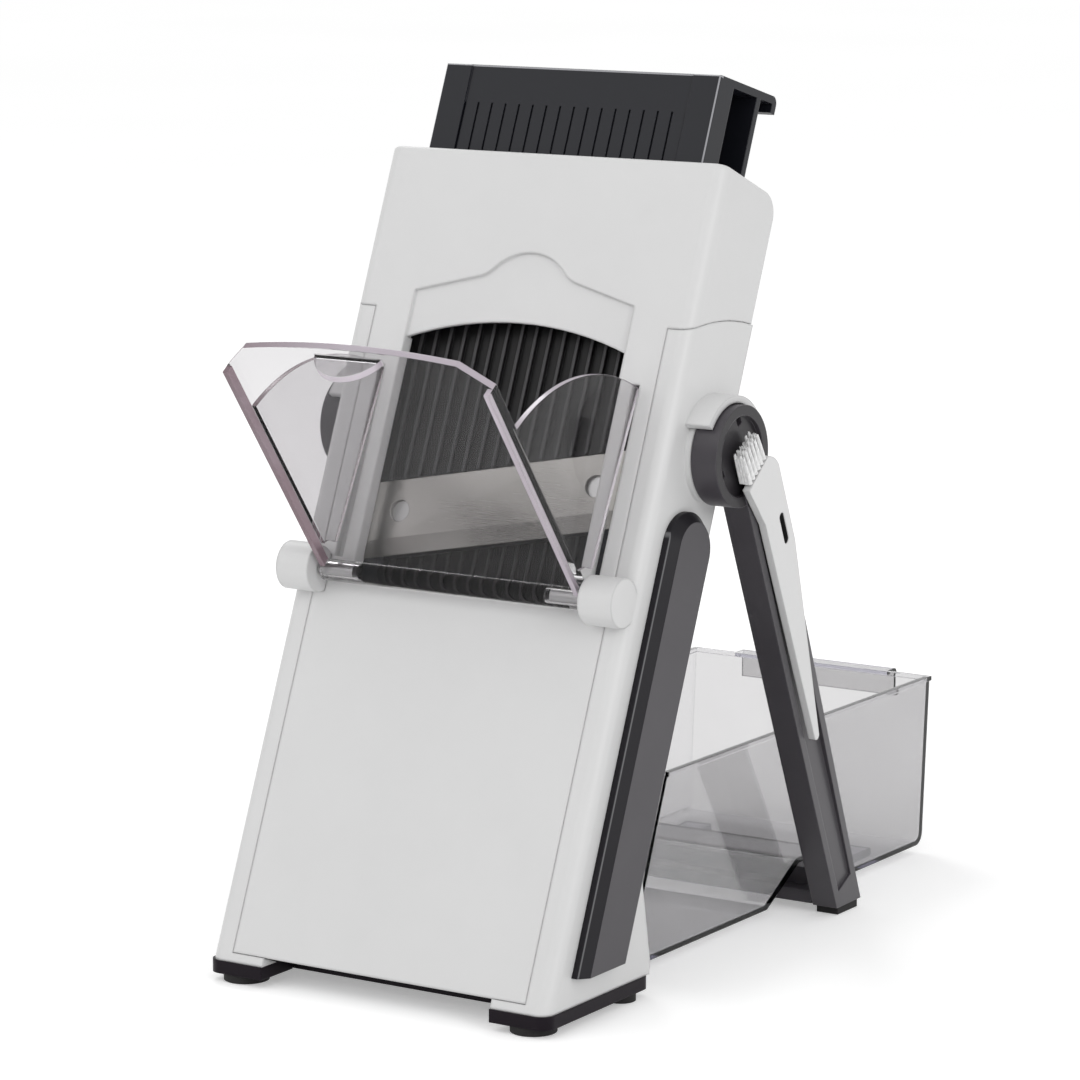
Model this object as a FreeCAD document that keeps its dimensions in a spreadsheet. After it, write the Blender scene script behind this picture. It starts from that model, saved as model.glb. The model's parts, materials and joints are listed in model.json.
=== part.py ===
"""Upright push-down mandoline slicer.

A leaning tower holds a spring-loaded blade carriage with a push handle. A clear chute door
hinges on its front, two joined rear legs fold on side hubs, a clear tray stands behind the
tower and a cleaning brush is clipped to the right leg.

The part stands on Z = 0 with +Z up, +X to the right seen from the front and +Y to the back.
Tower pieces are drawn in the tower's own axes, X across, Y into the depth and Z up along the
front face, and are then leant back by one placement.
"""
import FreeCAD, Part
import math
import os
from enum import IntEnum

import Sketcher

VECTOR = FreeCAD.Vector
X_AXIS = VECTOR(1, 0, 0)
Y_AXIS = VECTOR(0, 1, 0)

# Driving dimensions: name, value in millimetres or degrees, meaning
DIMENSIONS = (
    ("lean_angle", 22.4, "lean of the tower from the vertical"),
    ("origin_setback", 135.0, "front foot of the tower to the middle of the footprint"),
    ("sole_height", 7.0, "floor to the underside of the side frames"),
    ("body_width", 130.0, "tower across the side frames"),
    ("body_height", 278.0, "tower along its front face"),
    ("body_depth", 37.5, "tower square to its front face"),
    ("wall", 2.5, "wall of the front cover"),
    ("side_width", 8.5, "side frame across"),
    ("corner_radius", 4.5, "rounding of the upright front corners"),
    ("edge_radius", 1.5, "rounding of the top edges"),
    ("crown_radius", 8.0, "rounding of the top rear corner"),
    ("head_height", 56.0, "head above its seam at the front face"),
    ("seam_rise", 13.0, "rise of the seam from the front to the back"),
    ("seam_radius", 94.0, "curve of the seam on the sides"),
    ("seam_gap", 0.2, "gap along the seams of the housing"),
    ("heel_reach", 19.2, "rear end of the side frame's heel behind the back edge"),
    ("heel_shoulder_reach", 18.0, "upper corner of the heel behind the back edge"),
    ("heel_shoulder_height", 27.6, "upper corner of the heel, height"),
    ("heel_top", 55.5, "height where the heel leaves the back edge"),
    ("panel_foot", 3.3, "lower edge of the front cover"),
    ("toe_length", 12.5, "toe of the side frame"),
    ("window_jamb", 5.5, "window edge to the door wings"),
    ("jamb_width", 2.0, "return of the front cover beside the window"),
    ("jamb_gap", 0.4, "window's jambs in front of the handle"),
    ("sill_drop", 1.0, "lower edge of the window below the door axis"),
    ("window_height", 82.5, "window from its lower edge to its upper corners"),
    ("window_rise", 7.5, "crown of the window's arched top"),
    ("recess_depth", 1.2, "depth of the door recess"),
    ("recess_margin", 15.7, "outer corners of the recess above the window's corners"),
    ("bay_half", 18.5, "half width of the finger bay at its flared foot"),
    ("bay_flare_width", 5.0, "flared foot of the finger bay across"),
    ("bay_flare_rise", 3.2, "flared foot of the finger bay along"),
    ("bay_flare_radius", 10.5, "curve of the finger bay's flared foot"),
    ("bay_foot", 6.3, "foot of the finger bay above the recess corners"),
    ("bay_rise", 9.0, "top of the finger bay above its foot"),
    ("hinge_height", 131.5, "door axis along the tower"),
    ("hinge_forward", 4.5, "door axis in front of the face"),
    ("knuckle_radius", 8.0, "hinge knuckle"),
    ("knuckle_length", 12.5, "hinge knuckle across"),
    ("hinge_end_gap", 2.0, "knuckle to the door's barrel"),
    ("knuckle_end", 0.5, "knuckle short of the side"),
    ("hinge_pin_radius", 2.0, "door hinge pin"),
    ("hinge_pin_reach", 12.0, "pin length inside the door's barrel"),
    ("running_clearance", 0.05, "radial play of pins in their bores"),
    ("door_open_angle", 59.0, "opening of the door from the front face"),
    ("door_length", 101.5, "door from its axis to the middle of the top edge"),
    ("door_thickness", 2.5, "door panel"),
    ("door_gap", 1.0, "closed door in front of the face"),
    ("door_corner_width", 10.0, "cut corners of the door across"),
    ("door_corner_height", 8.5, "cut corners of the door along"),
    ("door_crown", 3.0, "crown of the door's top edge"),
    ("door_rim", 3.0, "raised side rims of the door"),
    ("barrel_radius", 3.8, "door hinge barrel"),
    ("wing_thickness", 2.0, "door wings"),
    ("wing_radius", 71.0, "outer radius of the wings"),
    ("wing_inner_radius", 10.0, "inner radius of the wings"),
    ("wing_sweep_angle", 64.0, "angle of the wings behind the panel"),
    ("slot_clearance", 0.6, "play of the wings in their slots"),
    ("slot_drop", 4.0, "slot below the wings' inner radius"),
    ("lip_half", 12.5, "half width of the door's finger lip"),
    ("lip_reach", 9.0, "finger lip in front of the panel"),
    ("lip_thickness", 2.2, "finger lip"),
    ("trim_front", 9.7, "front edge of the side trim"),
    ("trim_back_inset", 2.5, "rear edge of the side trim ahead of the back edge"),
    ("trim_gap", 1.6, "side trim below the hub boss"),
    ("trim_floor", 9.5, "lower end of the trim above the side frame's foot"),
    ("trim_height", 5.0, "side trim proud of the side"),
    ("trim_bevel", 3.0, "bevel round the side trim"),
    ("hub_inset", 10.1, "leg axis ahead of the back edge"),
    ("hub_drop", 33.0, "leg axis below the seam"),
    ("hub_radius", 16.6, "hub drum of the leg"),
    ("boss_height", 2.3, "hub boss of the side frame"),
    ("boss_inset", 0.5, "hub boss within the drum"),
    ("drum_inset", 0.5, "hub drum within the leg's outer face"),
    ("hub_gap", 0.4, "drum clear of the side frame"),
    ("hub_dish_radius", 13.2, "dish in the drum"),
    ("hub_dish_depth", 1.6, "depth of the dish"),
    ("hub_opening_radius", 11.2, "openings in the dish from the leg axis"),
    ("hub_opening_half", 1.4, "half width of an opening in the dish"),
    ("hub_opening_depth", 4.0, "openings below the floor of the dish"),
    ("hub_cap", 1.8, "floor of the dish over the pivot pin"),
    ("hub_pin_radius", 5.0, "leg pivot pin"),
    ("hub_pin_reach", 6.5, "pivot pin inside the side frame"),
    ("hub_pin_recess", 0.4, "pivot pin short of its cap"),
    ("hood_gap", 0.5, "hood clear of the drum"),
    ("hood_wall", 2.3, "hood over the drum"),
    ("hood_middle_angle", 90.0, "middle of the hood above level"),
    ("hood_half_angle", 54.0, "half opening of the hood"),
    ("hood_recess", 3.0, "hood short of the drum's outer face"),
    ("leg_angle", 27.7, "leg from the vertical"),
    ("leg_thickness", 9.4, "leg across"),
    ("leg_gap", 0.4, "leg clear of the drum's inner face"),
    ("leg_splay_angle", 3.1, "inward splay of the leg in degrees"),
    ("leg_start", 12.0, "start of the leg below its axis"),
    ("leg_front", 4.7, "front face of the leg ahead of its axis"),
    ("leg_back_top", 15.5, "back face of the leg at the hub"),
    ("leg_back_foot", 10.8, "back face of the leg at the foot"),
    ("channel_depth", 3.0, "channel in the outer face of the leg, at the hub"),
    ("channel_foot_depth", 1.0, "channel in the outer face of the leg, at the foot"),
    ("channel_rim", 3.2, "rim beside the channel"),
    ("channel_start", 18.5, "start of the channel below the axis"),
    ("channel_foot", 7.5, "channel short of the leg's foot"),
    ("pad_height", 2.7, "rubber pads"),
    ("pad_radius", 7.5, "rubber pads under the shoes"),
    ("leg_pad_inset", 0.6, "rubber pads within the foot of the leg"),
    ("bar_ahead", 4.0, "crossbar ahead of the leg's axis at the foot"),
    ("bar_depth", 15.0, "crossbar front to back"),
    ("bar_height", 4.3, "foot of the crossbar"),
    ("bar_rib", 7.5, "upright rib of the crossbar front to back"),
    ("seat_gap", 2.0, "crossbar below the tunnel it seats"),
    ("bar_end_gap", 0.4, "crossbar short of the legs"),
    ("shoe_overlap", 2.0, "shoe inside the side frame"),
    ("shoe_toe", 17.0, "wide front of the shoe"),
    ("shoe_edge", 0.5, "shoe proud of the frame"),
    ("tie_front", 18.0, "front of the base tie"),
    ("tie_back", 44.0, "back of the base tie"),
    ("tie_gap", 0.2, "base tie clear of the shoes"),
    ("tray_inset", 7.2, "tray within the side frames"),
    ("tray_wall", 1.5, "tray wall"),
    ("tray_floor", 3.0, "underside of the tray"),
    ("tray_top", 64.3, "rim of the tray"),
    ("tray_front_foot", 107.9, "front wall of the tray ahead of the crossbar, at the bottom"),
    ("tray_front_top", 83.4, "front wall of the tray ahead of the crossbar, at the rim"),
    ("tray_back_top", 100.5, "back wall of the tray behind the crossbar's front, at the rim"),
    ("tray_back_draft", 4.0, "draft of the back wall"),
    ("tray_heel_radius", 4.6, "curve of the tray's rear bottom edge"),
    ("tray_heel", 4.5, "size of the tray's rear bottom edge"),
    ("tunnel_start", 16.9, "front foot of the tunnel ahead of the crossbar"),
    ("tunnel_front", 5.1, "front edge of the tunnel's roof behind the crossbar's front"),
    ("tunnel_back", 23.1, "back edge of the tunnel's roof behind the crossbar's front"),
    ("tunnel_end", 44.1, "rear foot of the tunnel behind the crossbar's front"),
    ("tunnel_rise", 12.0, "height of the tunnel"),
    ("rim_width", 0.5, "tray rim beyond the walls"),
    ("rim_height", 1.6, "tray rim"),
    ("tray_lip_inset", 17.3, "handle lip within the tray's sides"),
    ("tray_lip_reach", 7.0, "handle lip behind the back wall"),
    ("tray_lip_drop", 10.0, "handle lip down from the rim"),
    ("tray_foot_margin", 16.0, "tray's feet from its front and back walls"),
    ("tray_foot_length", 14.0, "tray's feet front to back"),
    ("tray_foot_inset", 11.0, "tray's feet within its sides"),
    ("tray_foot_width", 10.0, "tray's feet across"),
    ("handle_inset", 11.8, "handle within the tower's sides"),
    ("handle_front", 5.2, "front face of the handle"),
    ("handle_back_inset", 4.5, "back face of the handle ahead of the tower's back"),
    ("handle_sunk", 42.0, "handle inside the head"),
    ("handle_show", 31.0, "handle's front above the head"),
    ("handle_wall", 2.6, "wall of the handle"),
    ("handle_rise", 5.2, "rise of the handle's top to its lip"),
    ("handle_lip_reach", 5.9, "rear end of the handle's lip behind the tower's back"),
    ("handle_hook", 6.0, "drop of the handle's lip"),
    ("handle_clearance", 0.6, "play of the handle in the head"),
    ("handle_block", 10.2, "plain end blocks of the handle"),
    ("block_depth", 9.8, "end blocks of the handle, front to back"),
    ("block_gap", 0.5, "end blocks above the carriage"),
    ("handle_header", 13.0, "plain strip at the top of the handle's front"),
    ("handle_step", 0.7, "middle of the handle's front behind its end blocks"),
    ("handle_recess", 0.9, "depth of the grooves between the handle's pleats"),
    ("handle_edge", 0.8, "rounding of the handle's front edges"),
    ("rib_margin", 5.4, "outer ribs within the plates' edges"),
    ("rib_width", 1.1, "ribs of the plates"),
    ("pleat_margin", 2.7, "outer pleats within the handle's end blocks"),
    ("pleat_width", 4.6, "pleats of the handle"),
    ("rib_count", 16, "number of ribs"),
    ("plate_clearance", 1.5, "carriage plates within the door wings"),
    ("plate_rib", 1.5, "ribs of the food plate"),
    ("plate_base", 1.5, "food plate behind its ribs"),
    ("carriage_thickness", 3.5, "carriage frame"),
    ("carriage_headroom", 16.0, "top of the carriage frame below the tower's top"),
    ("carriage_foot", 50.0, "foot of the carriage frame"),
    ("carriage_rail", 7.5, "side rails of the carriage frame"),
    ("carriage_bar", 8.0, "lower bar of the carriage frame"),
    ("blade_middle", 148.9, "cutting edge at the middle"),
    ("blade_slope_angle", 11.3, "slant of the blade"),
    ("blade_height", 25.0, "blade across its band"),
    ("blade_thickness", 1.8, "blade"),
    ("blade_bevel", 5.5, "ground edge of the blade"),
    ("blade_edge", 0.25, "thickness left at the cutting edge"),
    ("blade_gap", 0.3, "blade to the food plate"),
    ("rivet_inset", 11.0, "rivets within the blade's ends"),
    ("rivet_rise", 14.8, "rivets above the cutting edge"),
    ("rivet_radius", 3.6, "rivets of the blade"),
    ("rivet_height", 0.5, "rivets sunk in the blade"),
    ("rail_width", 4.5, "guide rails across"),
    ("rail_front", 23.0, "front of the guide rails"),
    ("rail_depth", 6.0, "guide rails in depth"),
    ("rail_foot", 12.0, "lower end of the guide rails"),
    ("rail_top", 126.0, "upper end of the guide rails"),
    ("runner_clearance", 0.3, "play of the runners on the rails"),
    ("runner_wall", 3.2, "walls of the runners"),
    ("runner_height", 14.0, "runners along the tower"),
    ("runner_inset", 1.0, "runners clear of the side frames"),
    ("spring_clearance", 0.7, "springs clear of the runners"),
    ("ear_foot", 66.0, "underside of the spring ears"),
    ("ear_height", 4.0, "spring ears"),
    ("ear_inset", 0.5, "spring ears clear of the side frames"),
    ("ear_back", 17.0, "back of the spring ears"),
    ("spring_inset", 4.5, "spring axis from the side frames"),
    ("spring_depth", 12.0, "spring axis behind the front face"),
    ("spring_radius", 3.2, "mean radius of the springs"),
    ("spring_wire", 1.2, "wire of the springs"),
    ("spring_turns", 5, "turns of each spring"),
    ("spring_sides", 6, "facets round the wire"),
    ("shelf_foot", 9.0, "underside of the spring shelf"),
    ("shelf_top", 13.0, "spring shelf"),
    ("shelf_length", 8.9, "spring shelf across"),
    ("stud_radius", 2.0, "stud in the foot of each spring"),
    ("stud_top", 19.0, "top of the studs"),
    ("slice_gap", 2.5, "thickness plate behind the carriage"),
    ("stop_base", 1.5, "thickness plate behind its ribs"),
    ("stop_rib", 1.0, "ribs of the thickness plate"),
    ("stop_inset", 2.5, "thickness plate within the carriage"),
    ("stop_foot", 117.0, "lower edge of the thickness plate"),
    ("stop_margin", 0.4, "thickness plate above the upper beam"),
    ("stop_post_inset", 14.0, "posts within the thickness plate"),
    ("beam_front", 25.0, "front of the upper beam"),
    ("beam_low_inset", 4.3, "front of the lower beam ahead of the back edge"),
    ("beam_depth", 4.0, "beams in depth"),
    ("beam_height", 4.0, "beams along the tower"),
    ("beam_drop", 18.4, "underside of the upper beam below the seam"),
    ("beam_low", 118.0, "underside of the lower beam"),
    ("screw_radius", 2.6, "screw heads"),
    ("screw_head", 1.4, "height of the screw heads"),
    ("brush_gap", 0.3, "brush clear of the leg"),
    ("brush_thickness", 2.6, "brush handle"),
    ("brush_tip", 112.0, "brush tip below the leg axis"),
    ("brush_head_front", 6.4, "front of the brush head ahead of the leg axis"),
    ("brush_head_drop", 4.4, "front corner of the head below the leg axis"),
    ("brush_top_drop", 1.0, "top of the brush head below the leg axis"),
    ("brush_top_back", 8.3, "back end of the head's top behind the leg axis"),
    ("brush_back", 13.5, "back edge of the brush behind the leg axis"),
    ("brush_shoulder_drop", 8.0, "foot of the rounded shoulder below the leg axis"),
    ("brush_shoulder_radius", 10.0, "rounded shoulder of the brush head"),
    ("brush_neck_front", 1.5, "front of the neck ahead of the leg axis"),
    ("brush_neck_drop", 21.5, "neck of the brush below the leg axis"),
    ("brush_taper_drop", 38.0, "start of the taper below the leg axis"),
    ("brush_tip_width", 3.0, "brush tip"),
    ("brush_tip_radius", 1.6, "rounding of the brush tip"),
    ("brush_slot_middle", 8.6, "hanging slot behind the leg axis"),
    ("brush_slot_drop", 34.5, "lower end of the hanging slot below the leg axis"),
    ("brush_slot_width", 3.0, "hanging slot in the brush"),
    ("brush_slot_length", 9.0, "hanging slot in the brush"),
    ("bristle_depth", 4.5, "bristles across"),
    ("bristle_front", 5.3, "bristle tips ahead of the leg axis"),
    ("bristle_back", 6.4, "bristle tips behind the leg axis"),
    ("bristle_step", 1.6, "slant of the bristles from the head"),
    ("bristle_top", 10.4, "bristle tips above the leg axis"),
)


class PointPos(IntEnum):
    """Numbers that a sketch gives to the points of an edge."""

    START = 1
    END = 2
    CENTRE = 3


class SketchAxis(IntEnum):
    """Numbers that a sketch gives to its origin and axes."""

    ACROSS = -1
    UP = -2


class Turn(IntEnum):
    """Ways that an arc can turn."""

    CCW = 1
    CW = -1


CCW, CW = Turn.CCW, Turn.CW


class Size:
    """A dimension known both as a number and as a formula over the spreadsheet."""

    def __init__(self, value, text):
        self.value = float(value)
        self.text = text

    @staticmethod
    def of(other):
        """Return other as a Size, plain numbers included."""
        if isinstance(other, Size):
            return other
        return Size(other, f"({float(other)!r})")

    def __add__(self, other):
        other = Size.of(other)
        return Size(self.value + other.value, f"({self.text} + {other.text})")

    def __radd__(self, other):
        return Size.of(other) + self

    def __sub__(self, other):
        other = Size.of(other)
        return Size(self.value - other.value, f"({self.text} - {other.text})")

    def __rsub__(self, other):
        return Size.of(other) - self

    def __mul__(self, other):
        other = Size.of(other)
        return Size(self.value * other.value, f"({self.text} * {other.text})")

    def __rmul__(self, other):
        return Size.of(other) * self

    def __truediv__(self, other):
        other = Size.of(other)
        return Size(self.value / other.value, f"({self.text} / {other.text})")

    def __rtruediv__(self, other):
        return Size.of(other) / self

    def __neg__(self):
        return Size(-self.value, f"(0 - {self.text})")


class Sheet:
    """The spreadsheet of driving dimensions, read back as Size values."""

    def __init__(self, document, rows):
        table = document.addObject("Spreadsheet::Sheet", "Sizes")
        for number, (alias, value, meaning) in enumerate(rows, start=1):
            table.set(f"A{number}", meaning)
            table.set(f"B{number}", str(value))
            table.setAlias(f"B{number}", alias)
        document.recompute()
        self.table = table

    def __getattr__(self, alias):
        return Size(self.table.get(alias), f"Sizes.{alias}")


def sin_of(angle):
    """Return the sine of an angle in degrees."""
    return Size(math.sin(math.radians(angle.value)), f"sin({angle.text})")


def cos_of(angle):
    """Return the cosine of an angle in degrees."""
    return Size(math.cos(math.radians(angle.value)), f"cos({angle.text})")


def tan_of(angle):
    """Return the tangent of an angle in degrees."""
    return Size(math.tan(math.radians(angle.value)), f"tan({angle.text})")


def arch_radius(half_chord, rise):
    """Return the radius of the arc over a chord with the given rise."""
    return (half_chord * half_chord + rise * rise) / (2 * rise)


doc = FreeCAD.newDocument("mandoline_slicer")
dim = Sheet(doc, DIMENSIONS)
NODES = []

# Places across the tower, from the middle outwards
HALF_WIDTH = dim.body_width / 2
SIDE_INNER = HALF_WIDTH - dim.side_width
KNUCKLE_OUTER = HALF_WIDTH - dim.knuckle_end
KNUCKLE_INNER = KNUCKLE_OUTER - dim.knuckle_length
WING_OUTER = KNUCKLE_INNER - dim.hinge_end_gap
WING_INNER = WING_OUTER - dim.wing_thickness
WINDOW_HALF = WING_INNER - dim.window_jamb
PLATE_HALF = WING_INNER - dim.plate_clearance
STOP_HALF = PLATE_HALF - dim.stop_inset
HANDLE_HALF = HALF_WIDTH - dim.handle_inset
TOE_INNER = SIDE_INNER - dim.toe_length
SHOE_INNER = SIDE_INNER - dim.shoe_overlap
TRAY_HALF = SIDE_INNER - dim.tray_inset
RAIL_INNER = SIDE_INNER - dim.rail_width
SPRING_OFFSET = SIDE_INNER - dim.spring_inset
SPRING_REACH = dim.spring_radius + dim.spring_wire / 2 + dim.spring_clearance
BOSS_OUTER = HALF_WIDTH + dim.boss_height
HUB_INNER = BOSS_OUTER + dim.hub_gap
LEG_INNER = HUB_INNER + dim.leg_gap
LEG_OUTER = LEG_INNER + dim.leg_thickness
HUB_OUTER = LEG_OUTER - dim.drum_inset
DISH_FLOOR = HUB_OUTER - dim.hub_dish_depth
PIVOT_END = DISH_FLOOR - dim.hub_cap

# Places along the tower, from its foot upwards
SEAM_FRONT = dim.body_height - dim.head_height
SEAM_REAR = SEAM_FRONT + dim.seam_rise
HUB_HEIGHT = SEAM_FRONT - dim.hub_drop
HOOD_RADIUS = dim.hub_radius + dim.hood_gap + dim.hood_wall
SILL = dim.hinge_height - dim.sill_drop
WINDOW_SHOULDER = SILL + dim.window_height
RECESS_CORNER = WINDOW_SHOULDER + dim.recess_margin
BEAM_HIGH = SEAM_FRONT - dim.beam_drop
STOP_TOP = BEAM_HIGH + dim.beam_height + dim.stop_margin
HANDLE_FOOT = dim.body_height - dim.handle_sunk
HANDLE_TOP = dim.body_height + dim.handle_show
CARRIAGE_TOP = dim.body_height - dim.carriage_headroom

# Places in the tower's depth, from the front face backwards
HUB_DEPTH = dim.body_depth - dim.hub_inset
HANDLE_BACK = dim.body_depth - dim.handle_back_inset
PLATE_FRONT = dim.handle_front + dim.handle_wall + dim.seam_gap
PLATE_BASE = PLATE_FRONT + dim.plate_rib
PLATE_BACK = PLATE_BASE + dim.plate_base
CARRIAGE_BACK = PLATE_BACK + dim.carriage_thickness
STOP_FRONT = CARRIAGE_BACK + dim.slice_gap
BEAM_LOW_FRONT = dim.body_depth - dim.beam_low_inset
RAIL_BACK = dim.rail_front + dim.rail_depth


def tower_y(depth, height):
    """Return the part's Y of a point given by its depth in and height along the tower."""
    outward = Size.of(depth) * cos_of(dim.lean_angle)
    return outward + Size.of(height) * sin_of(dim.lean_angle) - dim.origin_setback


def tower_z(depth, height):
    """Return the part's Z of a point given by its depth in and height along the tower."""
    upward = Size.of(height) * cos_of(dim.lean_angle)
    return upward - Size.of(depth) * sin_of(dim.lean_angle) + dim.sole_height


# Places of the legs and the tray in the part's frame
HUB_Y = tower_y(HUB_DEPTH, HUB_HEIGHT)
HUB_Z = tower_z(HUB_DEPTH, HUB_HEIGHT)
LEG_FALL = HUB_Z - dim.pad_height
LEG_FOOT = LEG_FALL / cos_of(dim.leg_angle)
LEG_END = LEG_FOOT + dim.leg_back_top
BAR_FRONT = LEG_FALL * tan_of(dim.leg_angle) - dim.bar_ahead

# Sketch, feature and placement helpers

NORMAL = {"XY_Plane": 1, "XZ_Plane": -1, "YZ_Plane": 1}


def bind(target, path, size):
    """Bind one property path of an object to a Size."""
    target.setExpression(path, Size.of(size).text)


def new_body(label):
    """Make an empty body whose label names the node."""
    body = doc.addObject("PartDesign::Body", label)
    body.Label = label
    return body


def datum(body, role):
    """Return one of the body's own origin planes or axes."""
    return next(item for item in body.Origin.OriginFeatures if item.Role == role)


def fix_point(sketch, geometry, position, u, v):
    """Hold a sketch point at the distances u and v from the sketch origin."""
    origin = (SketchAxis.ACROSS, PointPos.START)
    for kind, size, axis in (("DistanceX", Size.of(u), SketchAxis.UP),
                             ("DistanceY", Size.of(v), SketchAxis.ACROSS)):
        if size.value == 0.0:
            sketch.addConstraint(Sketcher.Constraint("PointOnObject", geometry, position, axis))
            continue
        rule = Sketcher.Constraint(kind, *origin, geometry, position, size.value)
        bind(sketch, f"Constraints[{sketch.addConstraint(rule)}]", size)


def arc_between(first, last, radius, turn):
    """Return the lesser arc from first to last, turning counter-clockwise or clockwise."""
    chord = last - first
    middle = (first + last) * 0.5
    rise = math.sqrt(max(radius ** 2 - chord.Length ** 2 / 4, 0.0))
    left = VECTOR(-chord.y, chord.x, 0).normalize()
    centre = middle + left * rise * turn
    ends = (first, last) if turn == CCW else (last, first)
    angles = [math.atan2(end.y - centre.y, end.x - centre.x) for end in ends]
    circle = Part.Circle(centre, VECTOR(0, 0, 1), radius)
    return Part.ArcOfCircle(circle, angles[0], angles[1])


def draw_loop(sketch, corners):
    """Draw a closed outline.

    Each corner is (u, v), or (u, v, radius, turn) where the edge that leaves it is an arc.
    """
    points = [VECTOR(Size.of(c[0]).value, Size.of(c[1]).value, 0) for c in corners]
    edges = []
    for index, corner in enumerate(corners):
        here = points[index]
        there = points[(index + 1) % len(points)]
        ends = (PointPos.START, PointPos.END)
        if len(corner) == 4:
            curve = arc_between(here, there, Size.of(corner[2]).value, corner[3])
            ends = ends if corner[3] == CCW else ends[::-1]
        else:
            curve = Part.LineSegment(here, there)
        edges.append((sketch.addGeometry(curve, False), *ends))
    for index, corner in enumerate(corners):
        edge, first, last = edges[index]
        follower, start = edges[(index + 1) % len(edges)][:2]
        sketch.addConstraint(Sketcher.Constraint("Coincident", edge, last, follower, start))
        fix_point(sketch, edge, first, corner[0], corner[1])
        if len(corner) == 4:
            rule = Sketcher.Constraint("Radius", edge, Size.of(corner[2]).value)
            bind(sketch, f"Constraints[{sketch.addConstraint(rule)}]", corner[2])


def draw_circle(sketch, u, v, radius):
    """Draw a circle held by its centre and radius."""
    centre = VECTOR(Size.of(u).value, Size.of(v).value, 0)
    circle = Part.Circle(centre, VECTOR(0, 0, 1), Size.of(radius).value)
    index = sketch.addGeometry(circle, False)
    fix_point(sketch, index, PointPos.CENTRE, u, v)
    rule = Sketcher.Constraint("Radius", index, Size.of(radius).value)
    bind(sketch, f"Constraints[{sketch.addConstraint(rule)}]", radius)


def draw_sketch(body, role, level, loops=(), circles=()):
    """Make a sketch on one of the body's planes, moved to a level along that plane's axis."""
    sketch = body.newObject("Sketcher::SketchObject", f"{body.Name}_sketch")
    sketch.AttachmentSupport = [(datum(body, role), "")]
    sketch.MapMode = "FlatFace"
    offset = Size.of(level) * NORMAL[role]
    sketch.AttachmentOffset = FreeCAD.Placement(VECTOR(0, 0, offset.value), FreeCAD.Rotation())
    bind(sketch, "AttachmentOffset.Base.z", offset)
    for corners in loops:
        draw_loop(sketch, corners)
    for circle in circles:
        draw_circle(sketch, *circle)
    return sketch


def pad(body, role, low, high, loops=(), circles=()):
    """Add a prism between two levels of a plane's axis."""
    level = low if NORMAL[role] > 0 else high
    feature = body.newObject("PartDesign::Pad", f"{body.Name}_pad")
    feature.Profile = draw_sketch(body, role, level, loops, circles)
    feature.Length = (Size.of(high) - low).value
    bind(feature, "Length", Size.of(high) - low)
    doc.recompute()
    return feature


def pocket(body, role, low, high, loops=(), circles=()):
    """Cut a prism between two levels of a plane's axis and check that it removed material."""
    before = body.Shape.Volume
    level = high if NORMAL[role] > 0 else low
    feature = body.newObject("PartDesign::Pocket", f"{body.Name}_pocket")
    feature.Profile = draw_sketch(body, role, level, loops, circles)
    feature.Length = (Size.of(high) - low).value
    bind(feature, "Length", Size.of(high) - low)
    doc.recompute()
    if not body.Shape.Volume < before:
        raise RuntimeError(f"{feature.Name} cuts nothing")
    return feature


def loft(body, kind, role, sections):
    """Add or cut a ruled loft through (level, corners) sections."""
    sketches = [draw_sketch(body, role, level, [corners]) for level, corners in sections]
    feature = body.newObject(f"PartDesign::{kind}", f"{body.Name}_loft")
    feature.Profile = sketches[0]
    feature.Sections = sketches[1:]
    feature.Ruled = True
    doc.recompute()
    return feature


def add_ribs(body, reach, width, front, back, low, high):
    """Add upright ribs of one width, the outer ones at -reach and reach from the middle."""
    first = -reach
    rib = pad(body, "XZ_Plane", front, back, [rectangle(
        first - width / 2, first + width / 2, low, high)])
    pattern = body.newObject("PartDesign::LinearPattern", f"{body.Name}_pattern")
    pattern.Originals = [rib]
    pattern.Direction = (datum(body, "X_Axis"), [""])
    pattern.Mode = "Extent"
    bind(pattern, "Length", reach * 2)
    bind(pattern, "Occurrences", dim.rib_count)
    body.Tip = pattern
    doc.recompute()


def dress(body, kind, size, wanted):
    """Round or bevel the edges of the body that the test picks."""
    base = body.Tip
    names = [f"Edge{i}" for i, edge in enumerate(base.Shape.Edges, start=1) if wanted(edge.BoundBox)]
    feature = body.newObject(f"PartDesign::{kind}", f"{body.Name}_{kind.lower()}")
    feature.Base = (base, names)
    bind(feature, "Radius" if kind == "Fillet" else "Size", size)
    doc.recompute()
    return feature


def near(value, size, slack=0.01):
    """Tell whether a coordinate lies at a size."""
    return abs(value - Size.of(size).value) < slack


def rectangle(u_low, u_high, v_low, v_high):
    """Return the corners of a rectangle."""
    return [(u_low, v_low), (u_high, v_low), (u_high, v_high), (u_low, v_high)]


def sides(inner, outer):
    """Return the low and high X of a stretch on the right side and of its mirror image."""
    return ((inner, outer), (-outer, -inner))


def place(item, y, z, axis=X_AXIS, angle=None):
    """Place an object in the part's frame, turned about an axis through its own origin."""
    turn = Size.of(0) if angle is None else angle
    base = VECTOR(0, Size.of(y).value, Size.of(z).value)
    item.Placement = FreeCAD.Placement(base, FreeCAD.Rotation(axis, turn.value))
    bind(item, "Placement.Base.y", y)
    bind(item, "Placement.Base.z", z)
    if angle is not None:
        bind(item, "Placement.Rotation.Angle", angle)


def place_on_tower(item):
    """Lean an object drawn in the tower's axes."""
    place(item, -dim.origin_setback, dim.sole_height, VECTOR(-1, 0, 0), dim.lean_angle)


def place_on_floor(item):
    """Place an object drawn from the tower's front foot and the floor."""
    place(item, -dim.origin_setback, 0)


def keep(item):
    """Register an object as a node of the part."""
    NODES.append(item)
    return item


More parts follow.
